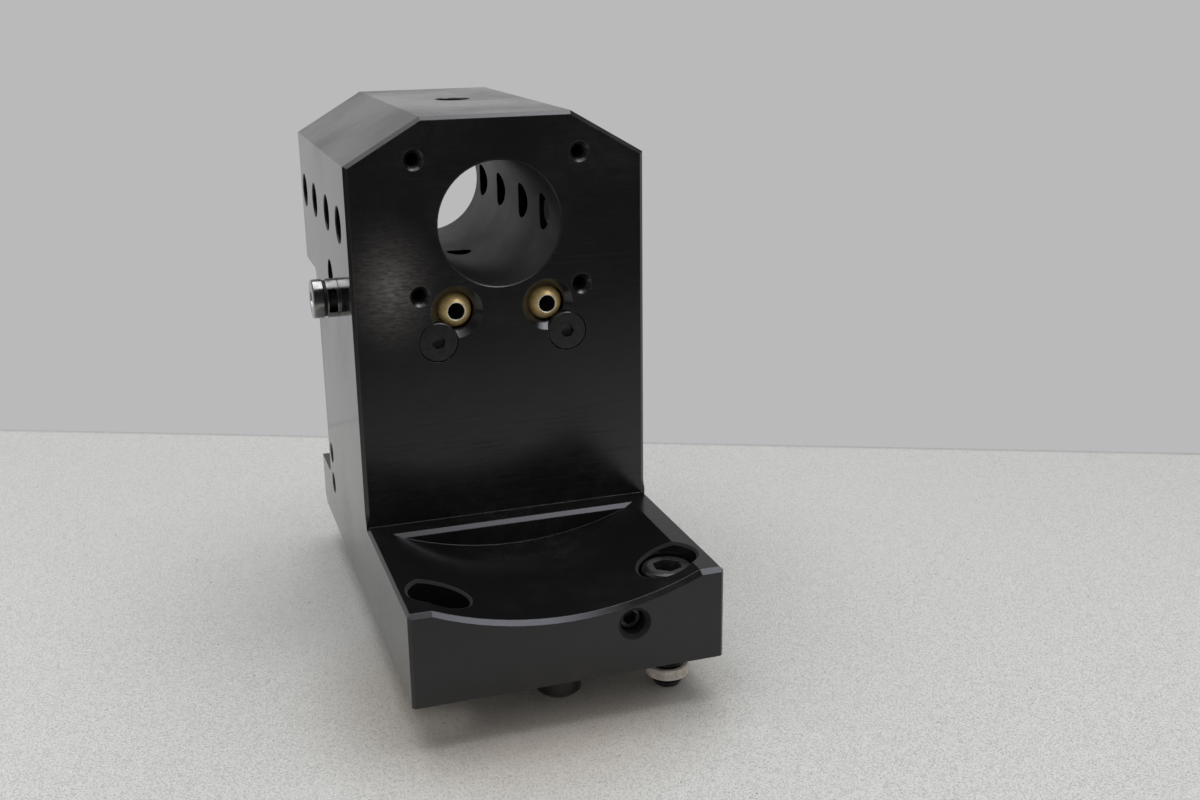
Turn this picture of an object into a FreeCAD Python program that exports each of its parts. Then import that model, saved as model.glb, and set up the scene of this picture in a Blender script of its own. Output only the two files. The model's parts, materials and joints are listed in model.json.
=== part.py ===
import FreeCAD, Part
import math
import os

import Sketcher
from FreeCAD import Placement, Rotation, Vector

# Combination tool holder for a lathe turret, in millimetres.
# The origin is on the axis of the front locating pin, in the seat face under the block.
# +Z is up, +X is to the right of the tower's front face, +Y runs back along the tool bore.

SIZES = {
    # holder block
    "block_width": 96.6,
    "tower_front": 53.0,
    "tower_depth": 86.5,
    "housing_overhang": 26.7,
    "housing_floor": 7.0,
    "roof_thickness": 14.3,
    "shoulder_drop": 14.0,
    "top_width": 48.4,
    "front_flange_reach": 68.8,
    "front_flange_height": 29.3,
    "rear_flange_depth": 23.1,
    "rear_flange_height": 19.3,
    "relief_fillet": 3.0,
    # tool bore and the round relief in front of it
    "bore_height": 126.0,
    "bore_diameter": 40.0,
    "bore_chamfer": 0.4,
    "relief_depth": 8.3,
    "relief_margin": 7.4,
    "ledge_depth": 9.0,
    # broken edges
    "face_chamfer": 1.2,
    "run_out_radius": 8.0,
    "run_out_lift": 1.5,
    "ledge_chamfer": 1.3,
    "flange_front_chamfer": 1.4,
    "flange_side_chamfer": 0.9,
    "flange_corner_chamfer": 0.8,
    "well_chamfer": 0.8,
    # threaded holes round the bore in the front face
    "accessory_spacing_across": 53.4,
    "accessory_spacing_up": 42.7,
    "accessory_drill": 5.0,
    "accessory_countersink": 6.8,
    "accessory_depth": 16.0,
    # bar clamp screws
    "clamp_front_margin": 18.5,
    "clamp_rear_margin": 11.7,
    "clamp_inner_spacing": 30.0,
    "clamp_thread": 12.0,
    "clamp_mouth_rim": 0.3,
    "clamp_length": 20.0,
    "clamp_socket": 6.0,
    "clamp_socket_depth": 6.0,
    "clamp_chamfer": 1.2,
    "clamp_gap_in": 1.0,
    "clamp_gap_out": 7.0,
    "top_clamp_length": 12.0,
    "top_clamp_gap": 0.8,
    # coolant balls, their seats and clamp screws
    "ball_spacing": 30.2,
    "ball_drop": 7.3,
    "ball_diameter": 12.0,
    "ball_centre_depth": 6.4,
    "ball_recess": 17.0,
    "ball_outlet": 5.4,
    "ball_outlet_depth": 6.0,
    "ball_passage": 3.0,
    "ball_inlet": 6.4,
    "ball_rim": 0.3,
    "seat_lip": 3.2,
    "seat_end": 7.0,
    "seat_passage": 6.4,
    "ball_screw_across": 6.4,
    "ball_screw_down": 9.4,
    "ball_screw_head": 12.7,
    "ball_screw_thread": 6.0,
    "ball_screw_length": 12.0,
    "ball_screw_socket": 4.0,
    "ball_screw_socket_depth": 2.1,
    # coolant drillings
    "channel_diameter": 6.0,
    "riser_offset": 1.3,
    "riser_diameter": 9.0,
    "gallery_plug_thread": 10.0,
    "gallery_plug_length": 8.0,
    "gallery_plug_socket": 5.0,
    "port_setback": 12.7,
    "port_web": 10.0,
    "port_drill": 8.0,
    "port_reach": 36.3,
    "port_plug_length": 10.0,
    "plug_recess": 2.5,
    "thread_spare": 2.0,
    "thread_edge": 0.75,
    # side coolant jet
    "jet_position": 33.0,
    "jet_rise": 0.8,
    "jet_diameter": 13.0,
    "jet_thread": 8.0,
    "jet_screw_length": 22.0,
    "jet_head_thickness": 3.7,
    "jet_head_socket": 5.0,
    "jet_head_socket_depth": 2.6,
    "jet_washer_thickness": 0.8,
    "jet_washer_diameter": 12.0,
    "jet_ring_thickness": 3.8,
    "jet_window_width": 2.8,
    "jet_window_height": 7.8,
    "jet_drill": 4.0,
    "jet_cross_drill": 2.6,
    # mounting bolts, retaining rings and locating pins
    "bolt_inset": 12.3,
    "rear_row_setback": 11.5,
    "bolt_thread": 10.0,
    "bolt_hole_play": 1.0,
    "bolt_head": 16.0,
    "bolt_head_height": 10.0,
    "bolt_socket": 8.0,
    "bolt_socket_depth": 5.5,
    "bolt_head_play": 2.0,
    "bolt_reach": 14.5,
    "front_bolt_length": 30.0,
    "rear_bolt_length": 25.0,
    "ring_diameter": 13.5,
    "ring_drop": 7.7,
    "ring_height": 3.5,
    "ring_groove_depth": 0.45,
    "pin_diameter": 14.0,
    "pin_reach": 10.3,
    "pin_shank": 12.0,
    "pin_shank_depth": 12.0,
    "pin_chamfer": 1.0,
    "pin_relief_width": 0.7,
    "pin_relief_depth": 0.3,
    # inlet seal in the seat face
    "seal_bore": 10.0,
    "seal_section": 2.0,
    "seal_groove_depth": 1.5,
    # threaded pair low on the left side
    "side_pair_setback": 7.3,
    "side_pair_height": 23.65,
    "side_pair_spacing": 12.1,
    "side_pair_drill": 6.8,
    "side_pair_countersink": 8.2,
    "side_pair_depth": 18.0,
    # adjusting screw in the flange front
    "adjuster_across": 19.5,
    "adjuster_cover": 5.4,
    "adjuster_thread": 8.0,
    "adjuster_countersink": 10.2,
    "adjuster_depth": 25.0,
    "adjuster_length": 12.0,
    "adjuster_recess": 4.5,
    "adjuster_socket": 4.0,
    # fits
    "thread_clearance": 0.05,
    "ball_clearance": 0.05,
    "seat_clearance": 0.08,
    "clamp_clearance": 0.1,
    "head_clearance": 0.2,
    "swivel_clearance": 0.08,
    "axial_clearance": 0.05,
    "pin_clearance": 0.02,
}

RING_GROOVES = 30
DRILL_POINT = 118
# diameter of a set screw's flat point as a share of its thread
POINT_SHARE = 0.7

# bearing of the +Z axis of a screw, from its point to its drive end
UPWARD = Rotation()
DOWNWARD = Rotation(Vector(1, 0, 0), 180)
FORWARD = Rotation(Vector(1, 0, 0), 90)
RIGHTWARD = Rotation(Vector(0, 1, 0), 90)
LEFTWARD = Rotation(Vector(0, 1, 0), -90)


class Size:
    """A length, held as its value and as the sheet formula that gives it."""

    def __init__(self, value, formula):
        self.value = value
        self.formula = formula

    def joined(self, sign, other, value):
        return Size(value, "(%s %s %s)" % (self.formula, sign, other.formula))

    def __add__(self, other):
        other = as_size(other)
        return self.joined("+", other, self.value + other.value)

    def __sub__(self, other):
        other = as_size(other)
        return self.joined("-", other, self.value - other.value)

    def __mul__(self, other):
        other = as_size(other)
        return self.joined("*", other, self.value * other.value)

    def __truediv__(self, other):
        other = as_size(other)
        return self.joined("/", other, self.value / other.value)

    def __radd__(self, other):
        return as_size(other) + self

    def __rsub__(self, other):
        return as_size(other) - self

    def __rmul__(self, other):
        return as_size(other) * self

    def __neg__(self):
        return as_size(0) - self


def as_size(item):
    if isinstance(item, Size):
        return item
    return Size(float(item), "(%r)" % float(item))


def root(size):
    return Size(math.sqrt(size.value), "sqrt(%s)" % size.formula)


def size_sheet(doc):
    """Write the driving sizes into a sheet and return them as Size values by name."""
    sheet = doc.addObject("Spreadsheet::Sheet", "Sizes")
    sizes = {}
    for row, (name, value) in enumerate(SIZES.items(), start=1):
        sheet.set("A%d" % row, name)
        sheet.set("B%d" % row, str(value))
        sheet.setAlias("B%d" % row, name)
        sizes[name] = Size(value, "Sizes." + name)
    doc.recompute()
    add_block_places(sizes)
    add_fitting_places(sizes)
    return sizes


def add_block_places(s):
    """Heights and ends of the block, each from the size that it follows."""
    radius = s["bore_diameter"] / 2
    s["tower_back"] = s["tower_front"] + s["tower_depth"]
    s["housing_length"] = s["tower_depth"] + s["housing_overhang"]
    s["housing_back"] = s["tower_back"] + s["housing_overhang"]
    s["rear_end"] = s["tower_back"] + s["rear_flange_depth"]
    s["flange_front"] = s["tower_front"] - s["front_flange_reach"]
    s["half_width"] = s["block_width"] / 2
    s["housing_underside"] = s["bore_height"] - radius - s["housing_floor"]
    s["top_height"] = s["bore_height"] + radius + s["roof_thickness"]
    s["shoulder_height"] = s["top_height"] - s["shoulder_drop"]
    s["relief_floor"] = s["front_flange_height"] - s["relief_depth"]
    depth, half_chord = s["relief_depth"], s["half_width"] - s["relief_margin"]
    s["relief_radius"] = (half_chord * half_chord + depth * depth) / (2 * depth)
    s["relief_centre"] = s["relief_floor"] + s["relief_radius"]


def add_fitting_places(s):
    """Places of the holes and fittings, each from the wall or the hole that it keeps clear of."""
    last_row = s["housing_length"] - s["clamp_rear_margin"]
    s["clamp_middle"] = (s["clamp_front_margin"] + last_row) / 2
    s["clamp_outer_spacing"] = last_row - s["clamp_front_margin"]
    s["clamp_countersink"] = s["clamp_thread"] + s["clamp_mouth_rim"] * 2
    s["riser_back"] = s["tower_front"] + s["clamp_middle"] + s["riser_offset"]
    s["ball_height"] = s["bore_height"] - s["bore_diameter"] / 2 - s["ball_drop"]
    s["port_height"] = s["bore_height"] - s["clamp_thread"] - s["port_web"]
    s["jet_height"] = s["ball_height"] + s["jet_rise"]
    s["jet_back"] = s["tower_front"] + s["jet_position"]
    s["port_back"] = s["jet_back"] + s["port_setback"]
    s["bolt_across"] = s["half_width"] - s["bolt_inset"]
    s["rear_row"] = s["tower_back"] + s["rear_row_setback"]
    s["bolt_hole"] = s["bolt_thread"] + s["bolt_hole_play"]
    s["bolt_counterbore"] = s["bolt_head"] + s["bolt_head_play"]
    s["side_pair_back"] = s["tower_back"] - s["side_pair_setback"]
    s["adjuster_height"] = s["relief_floor"] - s["adjuster_cover"]


def bind(thing, place, size):
    thing.setExpression(place, as_size(size).formula)


def new_body(doc, label, rotation=UPWARD, base=(0, 0, 0)):
    """A named body whose own axes are turned and moved to its place in the holder."""
    body = doc.addObject("PartDesign::Body", label)
    body.Label = label
    body.Placement = Placement(Vector(*(as_size(item).value for item in base)), rotation)
    for axis, item in zip("xyz", base):
        bind(body, "Placement.Base." + axis, item)
    return body


def new_sketch(body, name, plane, offset=0):
    """A sketch parallel to one of the body's own planes, moved along that plane's normal."""
    sketch = body.newObject("Sketcher::SketchObject", name)
    support = next(item for item in body.Origin.OriginFeatures if item.Role == plane)
    sketch.AttachmentSupport = [(support, "")]
    sketch.MapMode = "FlatFace"
    bind(sketch, "AttachmentOffset.Base.z", offset)
    return sketch


def hold(sketch, geometry, point, across=None, up=None):
    """Hold one point of a sketch by its distances from the sketch's origin."""
    for kind, item in (("DistanceX", across), ("DistanceY", up)):
        if item is not None:
            limit = Sketcher.Constraint(kind, -1, 1, geometry, point, as_size(item).value)
            bind(sketch, "Constraints[%d]" % sketch.addConstraint(limit), item)


def vector(across, up):
    return Vector(as_size(across).value, as_size(up).value, 0)


def draw_outline(sketch, corners):
    """A closed outline of straight lines through the corners."""
    first = sketch.GeometryCount
    for start, end in zip(corners, corners[1:] + corners[:1]):
        sketch.addGeometry(Part.LineSegment(vector(*start), vector(*end)), False)
    for index, corner in enumerate(corners):
        following = first + (index + 1) % len(corners)
        sketch.addConstraint(Sketcher.Constraint("Coincident", first + index, 2, following, 1))
        hold(sketch, first + index, 1, *corner)


def draw_circle(sketch, across, up, diameter):
    diameter = as_size(diameter)
    circle = Part.Circle(vector(across, up), Vector(0, 0, 1), diameter.value / 2)
    geometry = sketch.addGeometry(circle, False)
    hold(sketch, geometry, 3, across, up)
    limit = Sketcher.Constraint("Diameter", geometry, diameter.value)
    bind(sketch, "Constraints[%d]" % sketch.addConstraint(limit), diameter)


def draw_hexagon(sketch, across_flats):
    radius = across_flats / math.sqrt(3)
    turns = [math.radians(60 * index) for index in range(6)]
    draw_outline(sketch, [(radius * math.cos(turn), radius * math.sin(turn)) for turn in turns])


def settle(body, feature, adds):
    """Recompute, and stop if a feature that adds or cuts has left the volume as it was."""
    before = body.Shape.Volume if not body.Shape.isNull() else 0
    body.Tip = feature
    body.Document.recompute()
    change = body.Shape.Volume - before
    if (change > 0) != adds or change == 0:
        raise RuntimeError("%s changed the volume by %r" % (feature.Name, change))
    return feature


def pad(body, sketch, length, midplane=False):
    feature = body.newObject("PartDesign::Pad", sketch.Name + "_pad")
    feature.Profile = sketch
    bind(feature, "Length", length)
    feature.Midplane = midplane
    return settle(body, feature, True)


def pocket(body, sketch, length=None, back=False, midplane=False):
    """Cut the sketch into the solid, through all of it where no length is given."""
    feature = body.newObject("PartDesign::Pocket", sketch.Name + "_pocket")
    feature.Profile = sketch
    if length is None:
        feature.Type = "ThroughAll"
    else:
        bind(feature, "Length", length)
    feature.Reversed = back
    feature.Midplane = midplane
    return settle(body, feature, False)


def revolve(body, sketch):
    """Turn a half section about the body's own Z axis."""
    feature = body.newObject("PartDesign::Revolution", sketch.Name + "_turned")
    feature.Profile = sketch
    feature.ReferenceAxis = (sketch, ["V_Axis"])
    feature.Angle = 360
    return settle(body, feature, True)


def turned(body, name, corners):
    """A turned solid from its half section, given as radius and height."""
    sketch = new_sketch(body, name, "XZ_Plane")
    draw_outline(sketch, corners)
    return revolve(body, sketch)


def drill(body, sketch, diameter, depth=None, back=False, sink=None, flat=False):
    """Round holes at every circle of the sketch, with a 90 degree countersink where asked."""
    feature = body.newObject("PartDesign::Hole", sketch.Name + "_drilled")
    feature.Profile = sketch
    feature.Threaded = False
    feature.ThreadType = "None"
    feature.Reversed = back
    bind(feature, "Diameter", diameter)
    if sink is not None:
        feature.HoleCutType = "Countersink"
        feature.HoleCutCustomValues = True
        bind(feature, "HoleCutDiameter", sink)
        feature.HoleCutCountersinkAngle = 90
    feature.DrillPoint = "Flat" if flat or depth is None else "Angled"
    feature.DrillPointAngle = DRILL_POINT
    if depth is None:
        feature.DepthType = "ThroughAll"
    else:
        feature.DepthType = "Dimension"
        bind(feature, "Depth", depth)
    return settle(body, feature, False)


def near(first, second):
    return abs(first - as_size(second).value) < 1e-4


def chosen_edges(shape, test):
    """Names of the edges that pass the test, which reads an edge's bounds and middle."""
    names = []
    for index, edge in enumerate(shape.Edges, start=1):
        if test(edge, edge.BoundBox):
            names.append("Edge%d" % index)
    return names


def chamfer(body, name, width, test):
    base = body.Tip
    feature = body.newObject("PartDesign::Chamfer", name)
    feature.Base = (base, chosen_edges(base.Shape, test))
    bind(feature, "Size", width)
    return settle(body, feature, False)


def fillet(body, name, radius, test, adds):
    base = body.Tip
    feature = body.newObject("PartDesign::Fillet", name)
    feature.Base = (base, chosen_edges(base.Shape, test))
    bind(feature, "Radius", radius)
    return settle(body, feature, adds)


def block_blank(body, s):
    """Side outline of the block, drawn in Y and Z and padded across, with sloped shoulders."""
    front, rear = s["flange_front"], s["rear_end"]
    tower_back, housing_back = s["tower_back"], s["housing_back"]
    sketch = new_sketch(body, "side_outline", "YZ_Plane")
    draw_outline(sketch, [
        (front, 0),
        (rear - s["relief_fillet"], 0),
        (rear, s["relief_fillet"]),
        (rear, s["rear_flange_height"]),
        (tower_back, s["rear_flange_height"]),
        (tower_back, s["housing_underside"]),
        (housing_back, s["housing_underside"]),
        (housing_back, s["top_height"]),
        (s["tower_front"], s["top_height"]),
        (s["tower_front"], s["front_flange_height"]),
        (front, s["front_flange_height"]),
    ])
    pad(body, sketch, s["block_width"], midplane=True)
    shoulders = new_sketch(body, "shoulders", "XZ_Plane")
    for side in (-1, 1):
        draw_outline(shoulders, [
            (s["top_width"] / 2 * side, s["top_height"]),
            (s["half_width"] * side, s["top_height"]),
            (s["half_width"] * side, s["shoulder_height"]),
        ])
    pocket(body, shoulders, midplane=True)


def block_reliefs(body, s):
    """Round relief across the flange, as wide as its margins leave, and the rear fillets."""
    tower_back = s["tower_back"]
    relief = new_sketch(body, "flange_relief", "XZ_Plane", s["ledge_depth"] - s["tower_front"])
    draw_circle(relief, 0, s["relief_centre"], s["relief_radius"] * 2)
    pocket(body, relief, back=True)
    heights = (s["housing_underside"], s["rear_flange_height"])
    fillet(body, "relief_fillets", s["relief_fillet"], adds=True, test=lambda edge, box: (
        near(box.YMin, tower_back) and near(box.YMax, tower_back)
        and box.ZLength < 1e-4 and any(near(box.ZMin, height) for height in heights)))


def block_chamfers(body, s):
    """Broken edges of the faces, before any hole is cut through them."""
    front, half = s["flange_front"], s["half_width"]
    ledge = s["tower_front"] - s["ledge_depth"]
    housing_back = s["housing_back"]
    top = s["front_flange_height"]
    chamfer(body, "ledge_edge", s["ledge_chamfer"], lambda edge, box: (
        near(box.YMin, ledge) and near(box.YMax, ledge)
        and near(box.ZMin, top) and near(box.ZMax, top) and box.XLength > half.value))
    chamfer(body, "flange_front_edge", s["flange_front_chamfer"], lambda edge, box: (
        near(box.YMin, front) and near(box.YMax, front) and box.ZMin > 1 and box.XLength > 1))
    chamfer(body, "flange_upright_edges", s["flange_corner_chamfer"], lambda edge, box: (
        near(box.YMin, front) and near(box.YMax, front) and box.ZLength > top.value / 2
        and box.XLength < 1e-4))
    chamfer(body, "flange_side_edges", s["flange_side_chamfer"], lambda edge, box: (
        near(abs(box.Center.x), half) and box.XLength < 1e-4
        and near(box.ZMin, top) and near(box.ZMax, top)))
    rear_corners = s["shoulder_height"].value + 1e-3
    chamfer(body, "tower_top_edge", s["face_chamfer"], lambda edge, box: (
        near(box.YMin, s["tower_front"]) and near(box.YMax, s["tower_front"])
        and box.ZMin > rear_corners - 1e-2 and box.XLength > 1))
    chamfer(body, "housing_rear_edge", s["face_chamfer"], lambda edge, box: (
        near(box.YMin, housing_back) and near(box.YMax, housing_back)))
    run_outs(body, s)


def run_outs(body, s):
    """Chamfers up the tower's two front corners, each ending in the radius of its cutter."""
    depth = s["face_chamfer"] / math.sqrt(2)
    radius = s["run_out_radius"]
    fall = root(2 * radius * depth - depth * depth)
    end = s["front_flange_height"] + s["run_out_lift"]
    start = end + fall
    top = s["top_height"]
    for side in (-1, 1):
        sketch = new_sketch(body, "run_out_%s" % ("left" if side < 0 else "right"), "XZ_Plane",
                            -s["tower_front"])
        turn = Rotation(Vector(0, 1, 0), -45 if side > 0 else -135)
        sketch.AttachmentOffset = Placement(sketch.AttachmentOffset.Base, turn)
        bind(sketch, "AttachmentOffset.Base.x", s["half_width"] * side)
        draw_run_out(sketch, depth, radius, start, end, top)
        pocket(body, sketch, depth * 6, midplane=True)


def draw_run_out(sketch, depth, radius, start, end, top):
    """Section of the cutter's path: straight down the corner, then out along an arc."""
    centre = vector(radius - depth, start)
    leave = math.atan2(end.value - start.value, depth.value - radius.value)
    arc = Part.ArcOfCircle(Part.Circle(centre, Vector(0, 0, 1), radius.value), math.pi,
                           leave + 2 * math.pi)
    sketch.addGeometry(arc, False)
    hold(sketch, 0, 3, radius - depth, start)
    hold(sketch, 0, 1, -depth, start)
    hold(sketch, 0, 2, across=0)
    corners = [(0, end), (depth * 2, end), (depth * 2, top), (-depth, top), (-depth, start)]
    for start_corner, end_corner in zip(corners, corners[1:]):
        line = Part.LineSegment(vector(*start_corner), vector(*end_corner))
        geometry = sketch.addGeometry(line, False)
        sketch.addConstraint(Sketcher.Constraint("Coincident", geometry - 1, 2, geometry, 1))
        if end_corner is not corners[-1]:
            hold(sketch, geometry, 2, *end_corner)
    sketch.addConstraint(Sketcher.Constraint("Coincident", geometry, 2, 0, 1))


def clamp_rows(s):
    """Distances of the four side clamp screws behind the tower's front face."""
    inner = s["clamp_inner_spacing"] / 2
    outer = s["clamp_outer_spacing"] / 2
    return [s["clamp_middle"] + step for step in (-outer, -inner, inner, outer)]


def bore_and_clamp_holes(body, s):
    bore = new_sketch(body, "tool_bore", "XZ_Plane", -s["tower_front"])
    draw_circle(bore, 0, s["bore_height"], s["bore_diameter"])
    pocket(body, bore)
    mouths = (s["tower_front"], s["housing_back"])
    chamfer(body, "bore_mouths", s["bore_chamfer"], lambda edge, box: (
        near(box.XLength, s["bore_diameter"]) and any(near(box.Center.y, end) for end in mouths)))
    depth = s["half_width"]
    for side, name in ((-1, "left"), (1, "right")):
        sketch = new_sketch(body, "clamp_holes_" + name, "YZ_Plane", depth * side)
        for row in clamp_rows(s):
            draw_circle(sketch, s["tower_front"] + row, s["bore_height"], s["clamp_thread"])
        drill(body, sketch, s["clamp_thread"], depth, back=side < 0, sink=s["clamp_countersink"],
              flat=True)
    top = new_sketch(body, "clamp_hole_top", "XY_Plane", s["top_height"])
    draw_circle(top, 0, s["riser_back"], s["clamp_thread"])
    drill(body, top, s["clamp_thread"], s["top_height"] - s["bore_height"],
          sink=s["clamp_countersink"], flat=True)


def accessory_holes(body, s):
    sketch = new_sketch(body, "accessory_holes", "XZ_Plane", -s["tower_front"])
    for side in (-1, 1):
        for level in (-1, 1):
            draw_circle(sketch, s["accessory_spacing_across"] / 2 * side,
                        s["bore_height"] + s["accessory_spacing_up"] / 2 * level,
                        s["accessory_drill"])
    drill(body, sketch, s["accessory_drill"], s["accessory_depth"],
          sink=s["accessory_countersink"])
    pair = new_sketch(body, "side_pair", "YZ_Plane", -s["half_width"])
    for level in (-1, 1):
        height = s["side_pair_height"] + s["side_pair_spacing"] / 2 * level
        draw_circle(pair, s["side_pair_back"], height, s["side_pair_drill"])
    drill(body, pair, s["side_pair_drill"], s["side_pair_depth"], back=True,
          sink=s["side_pair_countersink"])


def ball_screw_head_thickness(s):
    """Thickness that brings the edge of the clamp screw's head down to the ball."""
    apart = root(s["ball_screw_across"] * s["ball_screw_across"]
                 + s["ball_screw_down"] * s["ball_screw_down"])
    offset = apart - s["ball_screw_head"] / 2
    reach = s["ball_diameter"] / 2 + s["clamp_clearance"]
    return s["ball_centre_depth"] - root(reach * reach - offset * offset)


def ball_sockets(body, s):
    """Cone, ball bore and feed channel of each nozzle, and the seats of their clamp screws."""
    ball_bore = s["ball_diameter"] + s["ball_clearance"] * 2
    bore_depth = s["ball_centre_depth"] + s["seat_end"] + s["axial_clearance"]
    sockets = new_sketch(body, "ball_sockets", "XZ_Plane", -s["tower_front"])
    channels = new_sketch(body, "ball_channels", "XZ_Plane", -s["tower_front"])
    heads = new_sketch(body, "ball_screw_heads", "XZ_Plane", -s["tower_front"])
    threads = new_sketch(body, "ball_screw_threads", "XZ_Plane", -s["tower_front"])
    for side in (-1, 1):
        across = s["ball_spacing"] / 2 * side
        draw_circle(sockets, across, s["ball_height"], ball_bore)
        draw_circle(channels, across, s["ball_height"], s["channel_diameter"])
        screw = (across + s["ball_screw_across"] * side, s["ball_height"] - s["ball_screw_down"])
        draw_circle(heads, *screw, s["ball_screw_head"] + s["head_clearance"] * 2)
        draw_circle(threads, *screw, s["ball_screw_thread"])
    drill(body, sockets, ball_bore, bore_depth, sink=s["ball_recess"], flat=True)
    drill(body, channels, s["channel_diameter"], s["riser_back"] - s["tower_front"])
    pocket(body, heads, ball_screw_head_thickness(s) + s["axial_clearance"])
    drill(body, threads, s["ball_screw_thread"], s["ball_screw_length"] + s["thread_spare"] * 2)


def coolant_drillings(body, s):
    """Riser from the seat face to the bore floor, cross gallery, left port and side jet feed."""
    half = s["half_width"]
    seal_groove = s["seal_bore"] + s["seal_section"] * 2 + s["pin_clearance"] * 2
    for name, diameter, depth in (("riser", s["riser_diameter"], s["bore_height"]),
                                  ("seal_groove", seal_groove, s["seal_groove_depth"])):
        sketch = new_sketch(body, name, "XY_Plane")
        draw_circle(sketch, 0, s["riser_back"], diameter)
        drill(body, sketch, diameter, depth, back=True, flat=True)
    gallery = (s["riser_back"], s["ball_height"])
    port = (s["port_back"], s["port_height"])
    jet = (s["jet_back"], s["jet_height"])
    plug_depth = s["plug_recess"] + s["thread_spare"]
    side_holes = (
        ("gallery", 1, gallery, s["channel_diameter"], half + s["ball_spacing"] / 2, False),
        ("gallery_mouth", 1, gallery, s["gallery_plug_thread"],
         plug_depth + s["gallery_plug_length"], True),
        ("left_port", -1, port, s["port_drill"], s["port_reach"], True),
        ("left_port_thread", -1, port, s["clamp_thread"], plug_depth + s["port_plug_length"], True),
        ("jet_feed", -1, jet, s["jet_drill"], half - s["ball_spacing"] / 2, False),
        ("jet_thread", -1, jet, s["jet_thread"], s["jet_screw_length"], True),
    )
    for name, side, place, diameter, depth, flat in side_holes:
        sketch = new_sketch(body, name, "YZ_Plane", half * side)
        draw_circle(sketch, *place, diameter)
        drill(body, sketch, diameter, depth, back=side < 0, flat=flat)


def mounting_holes(body, s):
    """Counterbored bolt holes in both flanges, pin holes and the adjusting screw's hole."""
    rows = (
        ("front", as_size(0), s["front_flange_height"], s["front_bolt_length"] - s["bolt_reach"]),
        ("rear", s["rear_row"], s["rear_flange_height"], s["rear_bolt_length"] - s["bolt_reach"]),
    )
    pin_hole = s["pin_shank"] + s["pin_clearance"] * 2
    for name, place, surface, seat in rows:
        holes = new_sketch(body, "bolt_holes_" + name, "XY_Plane")
        wells = new_sketch(body, "bolt_counterbores_" + name, "XY_Plane", surface)
        for side in (-1, 1):
            draw_circle(holes, s["bolt_across"] * side, place, s["bolt_hole"])
            draw_circle(wells, s["bolt_across"] * side, place, s["bolt_counterbore"])
        drill(body, holes, s["bolt_hole"], surface, back=True, flat=True)
        pocket(body, wells, surface - seat)
        if name == "front":
            chamfer(body, "well_edges", s["well_chamfer"], well_mouth(s, seat))
        relief = new_sketch(body, "pin_relief_" + name, "XY_Plane")
        draw_circle(relief, 0, place, s["pin_diameter"] + s["pin_relief_width"] * 2)
        pocket(body, relief, s["pin_relief_depth"], back=True)
        pin = new_sketch(body, "pin_hole_" + name, "XY_Plane")
        draw_circle(pin, 0, place, pin_hole)
        drill(body, pin, pin_hole, s["pin_shank_depth"], back=True, flat=True)
    adjuster = new_sketch(body, "adjuster_hole", "XZ_Plane", -s["flange_front"])
    draw_circle(adjuster, s["adjuster_across"], s["adjuster_height"], s["adjuster_thread"])
    drill(body, adjuster, s["adjuster_thread"], s["adjuster_depth"],
          sink=s["adjuster_countersink"])


def well_mouth(s, seat):
    """Test for the upper edges of the front counterbores, which stand either side of the origin."""
    def test(edge, box):
        middle = edge.valueAt((edge.FirstParameter + edge.LastParameter) / 2)
        apart = math.hypot(abs(middle.x) - s["bolt_across"].value, middle.y)
        above = box.ZMin > seat.value + s["well_chamfer"].value
        return near(apart, s["bolt_counterbore"] / 2) and above and box.XLength > 1
    return test


def holder_block(doc, s):
    body = new_body(doc, "holder_block")
    block_blank(body, s)
    block_reliefs(body, s)
    block_chamfers(body, s)
    bore_and_clamp_holes(body, s)
    accessory_holes(body, s)
    ball_sockets(body, s)
    coolant_drillings(body, s)
    mounting_holes(body, s)


def cut_socket(body, across_flats, depth):
    """Hexagon socket cut down from the drive end, at height zero of the body."""
    sketch = new_sketch(body, "socket", "XY_Plane")
    draw_hexagon(sketch, across_flats)
    pocket(body, sketch, depth)


def set_screw(doc, label, rotation, base, thread, length, point, edge, socket, depth, clearance):
    """A headless screw below its drive end, with a flat point and a chamfer at each end."""
    body = new_body(doc, label, rotation, base)
    radius = thread / 2 - clearance
    turned(body, "section", [
        (0, 0),
        (radius - edge, 0),
        (radius, -edge),
        (radius, edge - length),
        (point / 2, -length),
        (0, -length),
    ])
    cut_socket(body, socket, depth)


def bar_clamp_screws(doc, s):
    """Four screws from each side and one from above, which clamp the tool bar in the bore."""
    reach = s["bore_diameter"] / 2 + s["clamp_length"]
    inward, outward = s["clamp_gap_in"], s["clamp_gap_out"]
    sides = (
        ("left", -1, LEFTWARD, (inward, inward, inward, outward)),
        ("right", 1, RIGHTWARD, (inward, outward, outward, outward)),
    )
    shared = (s["clamp_thread"] * POINT_SHARE, s["clamp_chamfer"], s["clamp_socket"],
              s["clamp_socket_depth"], s["thread_clearance"])
    for name, side, rotation, gaps in sides:
        for number, (row, gap) in enumerate(zip(clamp_rows(s), gaps), start=1):
            base = ((reach + gap) * side, s["tower_front"] + row, s["bore_height"])
            set_screw(doc, "bar_clamp_screw_%s_%d" % (name, number), rotation, base,
                      s["clamp_thread"], s["clamp_length"], *shared)
    drive = s["bore_height"] + s["bore_diameter"] / 2 + s["top_clamp_gap"] + s["top_clamp_length"]
    base = (0, s["riser_back"], drive)
    set_screw(doc, "bar_clamp_screw_top", UPWARD, base, s["clamp_thread"], s["top_clamp_length"],
              *shared)


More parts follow.
